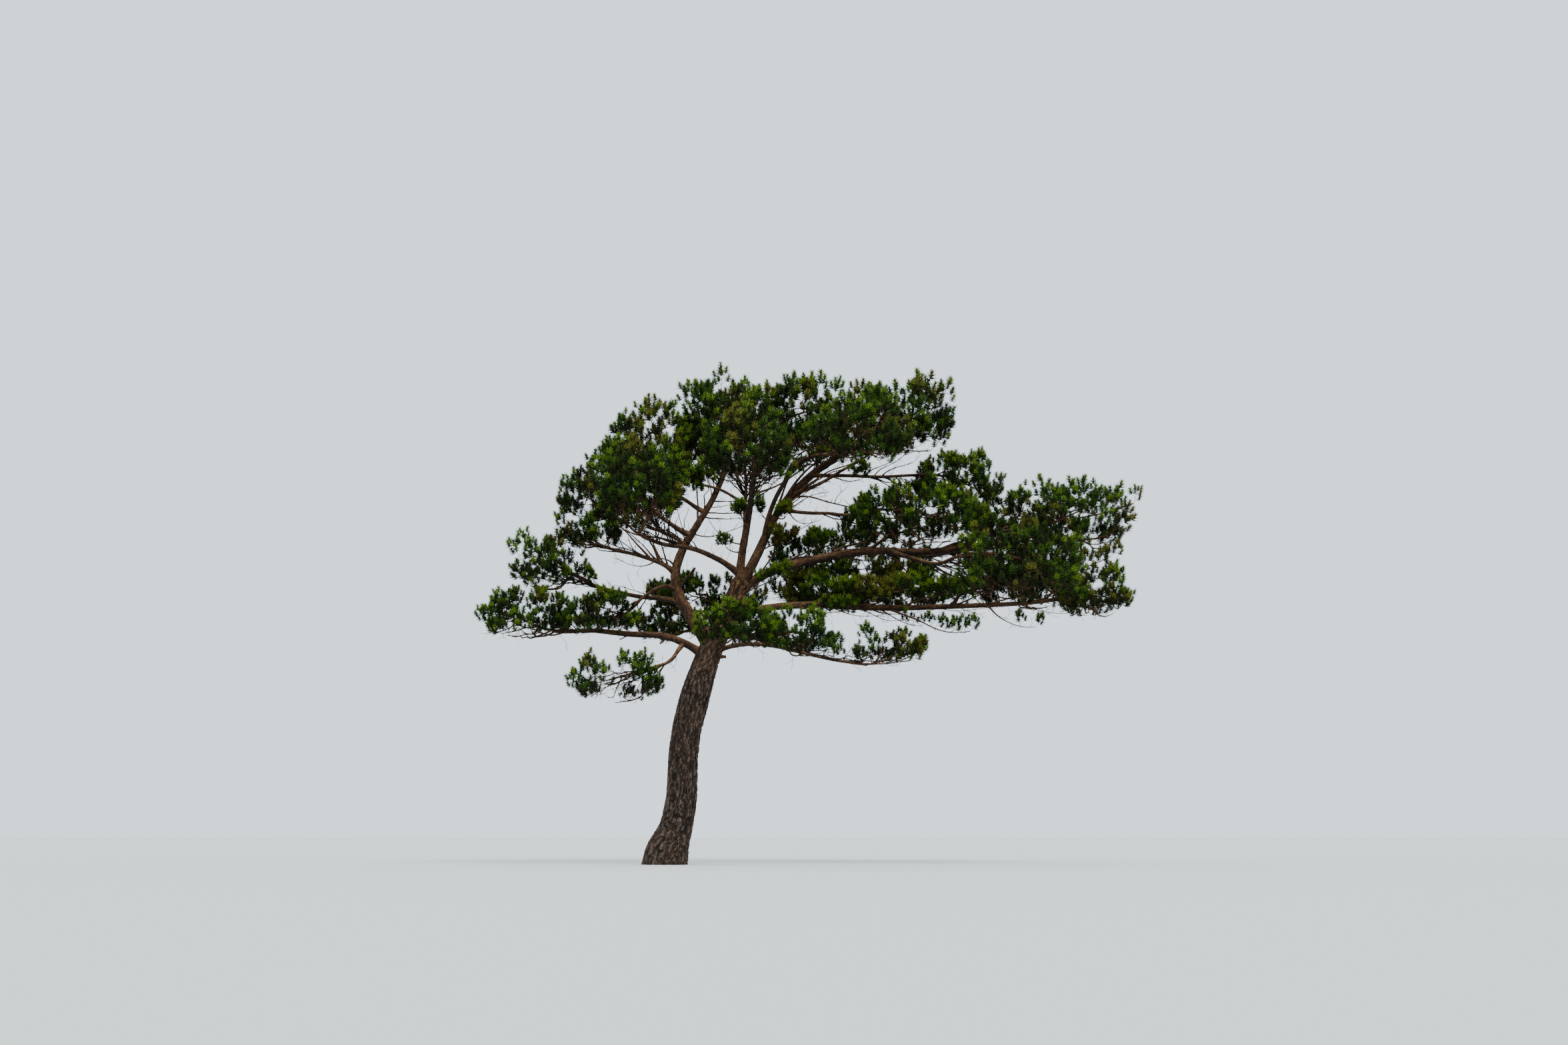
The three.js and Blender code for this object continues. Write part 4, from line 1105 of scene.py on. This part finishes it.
def needles_of(word):
    """The needles of one tint, as arrays for its pieces: young ones, and old ones below other tints."""
    pieces, total = [[]], 0
    # old needles take a deeper tint than their brush: partly their own older colour, partly painted shade
    # at the foot of the brush
    above = {"young": [word], "old": [other for other in GREENS if GREENS[other][1] == word]}
    for age, kinds in brushes.items():
        mine = np.flatnonzero(np.isin(words, above[age]))
        for i, (spots, faces) in enumerate(kinds):
            some = mine[i::BRUSHES]
            placed = np.einsum("nij,vj->nvi", turned[some], spots) * grown[some, None, None]
            placed += starts[some, None]
            for at in range(0, len(some), BATCH):
                batch = placed[at:at + BATCH]
                shifts = (np.arange(len(batch)) * len(spots))[:, None, None]
                laid = (faces[None] + shifts).reshape(-1, 3)
                if total + len(laid) > MOST_IN_A_PIECE:
                    pieces.append([])
                    total = 0
                pieces[-1].append((batch.reshape(-1, 3), laid))
                total += len(laid)
    return [stacked(piece) for piece in pieces if piece]


needles = []
for word in GREENS:
    for i, arrays in enumerate(needles_of(word)):
        needles.append((joined(f"needles_{word}_{i + 1}", *arrays), word))
print(sum(len(piece.data.polygons) for piece, _ in needles), "triangles of needles")

# %% [markdown]
# ## Materials
# Each material is named for what it is. One function turns a hex colour, as a picture shows it,
# into the linear values that the shader works with, and one adds a node with its settings.

# %% Material helpers
def linear(hex_colour):
    parts = [int(hex_colour[i:i + 2], 16) / 255 for i in (1, 3, 5)]
    return tuple(c / 12.92 if c <= 0.04045 else ((c + 0.055) / 1.055) ** 2.4 for c in parts) + (1,)


def add(tree, kind, inputs=None, **settings):
    """Adds a node, sets its properties, and gives its sockets a value or another node's output."""
    node = tree.nodes.new("ShaderNode" + kind)
    for key, value in settings.items():
        setattr(node, key, value)
    for key, value in (inputs or {}).items():
        if isinstance(value, bpy.types.NodeSocket):
            tree.links.new(value, node.inputs[key])
        else:
            node.inputs[key].default_value = value
    return node


def new_material(name):
    material = bpy.data.materials.new(name)
    material.use_nodes = True
    tree = material.node_tree
    tree.nodes.clear()
    surface = add(tree, "BsdfPrincipled")
    add(tree, "OutputMaterial", {"Surface": surface.outputs["BSDF"]})
    return material, tree, surface


def coat(tree, surface, colour, roughness, specular, bump=None):
    """Gives a surface its colour, plain or from a node, its gloss, and a bump: height, strength, mm."""
    if isinstance(colour, str):
        surface.inputs["Base Color"].default_value = linear(colour)
    else:
        tree.links.new(colour, surface.inputs["Base Color"])
    surface.inputs["Roughness"].default_value = roughness
    surface.inputs["Specular IOR Level"].default_value = specular
    if bump:
        relief = add(tree, "Bump", {"Height": bump[0], "Strength": bump[1], "Distance": bump[2] * MM})
        tree.links.new(relief.outputs["Normal"], surface.inputs["Normal"])


def ramp(tree, share, stops):
    """A colour ramp over a share, from (place, hex) stops."""
    node = add(tree, "ValToRGB", {"Fac": share})
    while len(node.color_ramp.elements) < len(stops):
        node.color_ramp.elements.new(0.5)
    for element, (at, colour) in zip(node.color_ramp.elements, stops):
        element.position = at
        element.color = linear(colour)
    return node.outputs["Color"]


def sum_of(tree, *terms):
    """The sum of some values, each times its own weight, kept from 0 to 1."""
    total = 0.0
    for value, weight in terms:
        total = add(tree, "Math", {0: value, 1: weight, 2: total}, operation="MULTIPLY_ADD").outputs[0]
    return add(tree, "Clamp", {"Value": total}).outputs[0]


# %% [markdown]
# ### Plated bark
# Dead cork and scales of old pine bark: grey on the weathered plates, brown where a scale has come off,
# nearly black in the furrows, which is partly the bark's own dark colour and partly painted shade. It is
# dry, so it is rough all over. The colour follows the relief that the mesh already has. Voronoi scales with
# cracks between them, a grain and large patches break it up, and towards the crown it turns into the thin
# bark of the boughs.

# %% Plated bark
SCALE_SIZE = 0.024  # m across a scale, and two and a half times as long
GRAIN_SIZE = 0.012
THIN_BARK = [(0.0, "#120b06"), (0.25, "#2a1b10"), (0.5, "#48301d"), (0.8, "#725539")]

plated_bark, tree, surface = new_material("plated_pine_bark")
straight = add(tree, "Attribute", attribute_name="straight").outputs["Vector"]
relief = add(tree, "Attribute", attribute_name="relief").outputs["Fac"]
sway = add(tree, "TexNoise", {"Vector": straight, "Scale": 1 / 0.05, "Detail": 2.0}).outputs["Color"]
bent = add(tree, "VectorMath", {0: sway, 1: (0.03, 0.03, 0.03), 2: straight},
           operation="MULTIPLY_ADD").outputs[0]
drawn = add(tree, "Mapping", {"Vector": bent, "Scale": (1, 1, 0.4)}).outputs["Vector"]
grain = add(tree, "TexNoise", {"Vector": drawn, "Scale": 1 / GRAIN_SIZE, "Detail": 5.0,
                               "Roughness": 0.65}).outputs["Fac"]
scale = add(tree, "TexVoronoi", {"Vector": drawn, "Scale": 1 / SCALE_SIZE}).outputs["Color"]
edge = add(tree, "TexVoronoi", {"Vector": drawn, "Scale": 1 / SCALE_SIZE},
           feature="DISTANCE_TO_EDGE").outputs["Distance"]
crack = add(tree, "MapRange", {"Value": edge, "From Min": 0.0, "From Max": 0.12}).outputs[0]
patch = add(tree, "TexNoise", {"Vector": drawn, "Scale": 1 / 0.1, "Detail": 3.0}).outputs["Fac"]
height = sum_of(tree, (relief, 0.5), (scale, 0.34), (grain, 0.85), (crack, 0.26), (patch, 0.5), (1.0, -0.9))
# the low end of the ramp, in the furrows, is near black: partly the bark's own dark colour, partly painted
# shade in the recesses
plates = ramp(tree, height, [(0.0, "#0a0705"), (0.26, "#1a130e"), (0.48, "#32271f"), (0.7, "#50433a"),
                             (1.0, "#75675c")])
worn = ramp(tree, patch, [(0.4, "#000000"), (0.64, "#a6a6a6")])
brown = add(tree, "MixRGB", {"Fac": worn, "Color1": plates, "Color2": linear("#3b2a1f")}).outputs["Color"]
along = add(tree, "SeparateXYZ", {"Vector": bent}).outputs["Z"]
thin = add(tree, "MapRange", {"Value": along, "From Min": 2.2, "From Max": 3.3}).outputs[0]
colour = add(tree, "MixRGB", {"Fac": thin, "Color1": brown, "Color2": ramp(tree, height, THIN_BARK)})
coat(tree, surface, colour.outputs["Color"], 0.92, 0.2, (height, 0.8, 8))

# %% [markdown]
# ### Flaking upper bark
# Higher up the bark stays thin. It peels in papery scales that leave an orange brown. Over that, the colour
# is painted paler on the upper side of a bough, as painted top light, and darker on the underside, as
# painted shade, by which way the surface faces. It is a little smoother than the trunk's.

# %% Flaking bark
FLAKE_SIZE = 0.018  # m across, and a little over twice as long

flaking_bark, tree, surface = new_material("flaking_pine_bark")
straight = add(tree, "Attribute", attribute_name="straight").outputs["Vector"]
relief = add(tree, "Attribute", attribute_name="relief").outputs["Fac"]
drawn = add(tree, "Mapping", {"Vector": straight, "Scale": (1, 1, 0.45)}).outputs["Vector"]
grain = add(tree, "TexNoise", {"Vector": drawn, "Scale": 1 / 0.014, "Detail": 4.0,
                               "Roughness": 0.6}).outputs["Fac"]
flake = add(tree, "TexVoronoi", {"Vector": drawn, "Scale": 1 / FLAKE_SIZE}).outputs["Color"]
# painted light and shade: the upward-facing side of a bough is painted paler and the downward-facing side
# darker
painted_top_light_underside_shade = add(tree, "SeparateXYZ", {"Vector": add(tree, "NewGeometry").outputs["Normal"]}).outputs["Z"]
patch = add(tree, "TexNoise", {"Vector": drawn, "Scale": 1 / 0.09, "Detail": 2.0}).outputs["Fac"]
height = sum_of(tree, (relief, 0.16), (flake, 0.3), (grain, 0.9), (patch, 0.6), (1.0, -0.55))
# the bark's own tone plus the painted top light and underside shade
bark_tone_with_painted_light = sum_of(tree, (height, 1.0), (painted_top_light_underside_shade, 0.34), (1.0, -0.04))
coat(tree, surface, ramp(tree, bark_tone_with_painted_light, THIN_BARK), 0.85, 0.2, (height, 0.5, 3))

# %% [markdown]
# ### Bark of the thin stems
# A stem a few centimetres thick is brown with paler spots and the scars of old needles. It has no
# relief to follow, so a noise on the object's own coordinates gives the patches, coarser than on a
# real stem, so that it still shows from where the camera stands.

# %% Stem bark
STEM_PATCH = 0.03  # m from one darker place to the next

stem_bark, tree, surface = new_material("thin_stem_bark")
spot = add(tree, "TexCoord").outputs["Object"]
grain = add(tree, "TexNoise", {"Vector": spot, "Scale": 1 / STEM_PATCH, "Detail": 4.0,
                               "Roughness": 0.6}).outputs["Fac"]
colour = ramp(tree, grain, [(0.34, "#1d130c"), (0.5, "#3a281a"), (0.66, "#5d442f")])
coat(tree, surface, colour, 0.9, 0.1, (grain, 0.5, 2))

# %% [markdown]
# ### Twigs and needles
# Young wood is brown with a dull skin. A needle has a waxy one: it is smooth along its length, so
# it shines a little. Both are too small for a pattern, so each has one plain colour.

# %% Twigs and needles
dead_bark, tree, surface = new_material("dead_twig_bark")
coat(tree, surface, "#231812", 0.9, 0.1)
young_bark, tree, surface = new_material("young_twig_bark")
coat(tree, surface, "#38271a", 0.9, 0.1)
waxy_needles = {}
for word, (colour, _) in GREENS.items():
    waxy_needles[word], tree, surface = new_material(f"waxy_needles_{word}")
    coat(tree, surface, colour, 0.6, 0.1)

# %% Hand everything over to the frame
bough_nodes = ["bough_" + name for name in BOUGHS]
mass_nodes = ["mass_" + name for name in MASSES]


def dress(piece, material, nodes):
    piece.data.materials.append(material)
    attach(piece, "root")
    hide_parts(*nodes)


dress(trunk_bark, plated_bark, ["trunk"])
dress(boughs_bark, flaking_bark, bough_nodes)
dress(side_limbs_bark, flaking_bark, mass_nodes)
dress(twig_wood, stem_bark, mass_nodes)
dress(bare_twigs, dead_bark, mass_nodes)
dress(shoot_wood, young_bark, mass_nodes)
for piece, word in needles:
    dress(piece, waxy_needles[word], mass_nodes)

# %% [markdown]
# ## Floor and light
# A plain pale floor in an even pale studio. The light comes from all around, with one large soft
# lamp above, so the shadows stay open and the bark and the needles keep their own colours.

# %% Floor and light
bm = bmesh.new()
bmesh.ops.create_grid(bm, x_segments=1, y_segments=1, size=150)
mesh = bpy.data.meshes.new("studio_floor")
bm.to_mesh(mesh)
bm.free()
floor = bpy.data.objects.new("studio_floor", mesh)
bpy.context.scene.collection.objects.link(floor)
painted_floor, tree, surface = new_material("pale_painted_floor")
coat(tree, surface, "#c9cbc8", 0.9, 0.5)
floor.data.materials.append(painted_floor)

studio = bpy.data.worlds.new("pale_studio")
bpy.context.scene.world = studio
studio.use_nodes = True
studio.node_tree.nodes["Background"].inputs["Color"].default_value = linear("#dce8f0")
studio.node_tree.nodes["Background"].inputs["Strength"].default_value = 1.9

sun = bpy.data.lights.new("soft_top_light", "SUN")
sun.energy = 3.2
sun.angle = math.radians(25)
lamp = bpy.data.objects.new("soft_top_light", sun)
lamp.rotation_euler = (math.radians(38), math.radians(18), 0)
bpy.context.scene.collection.objects.link(lamp)
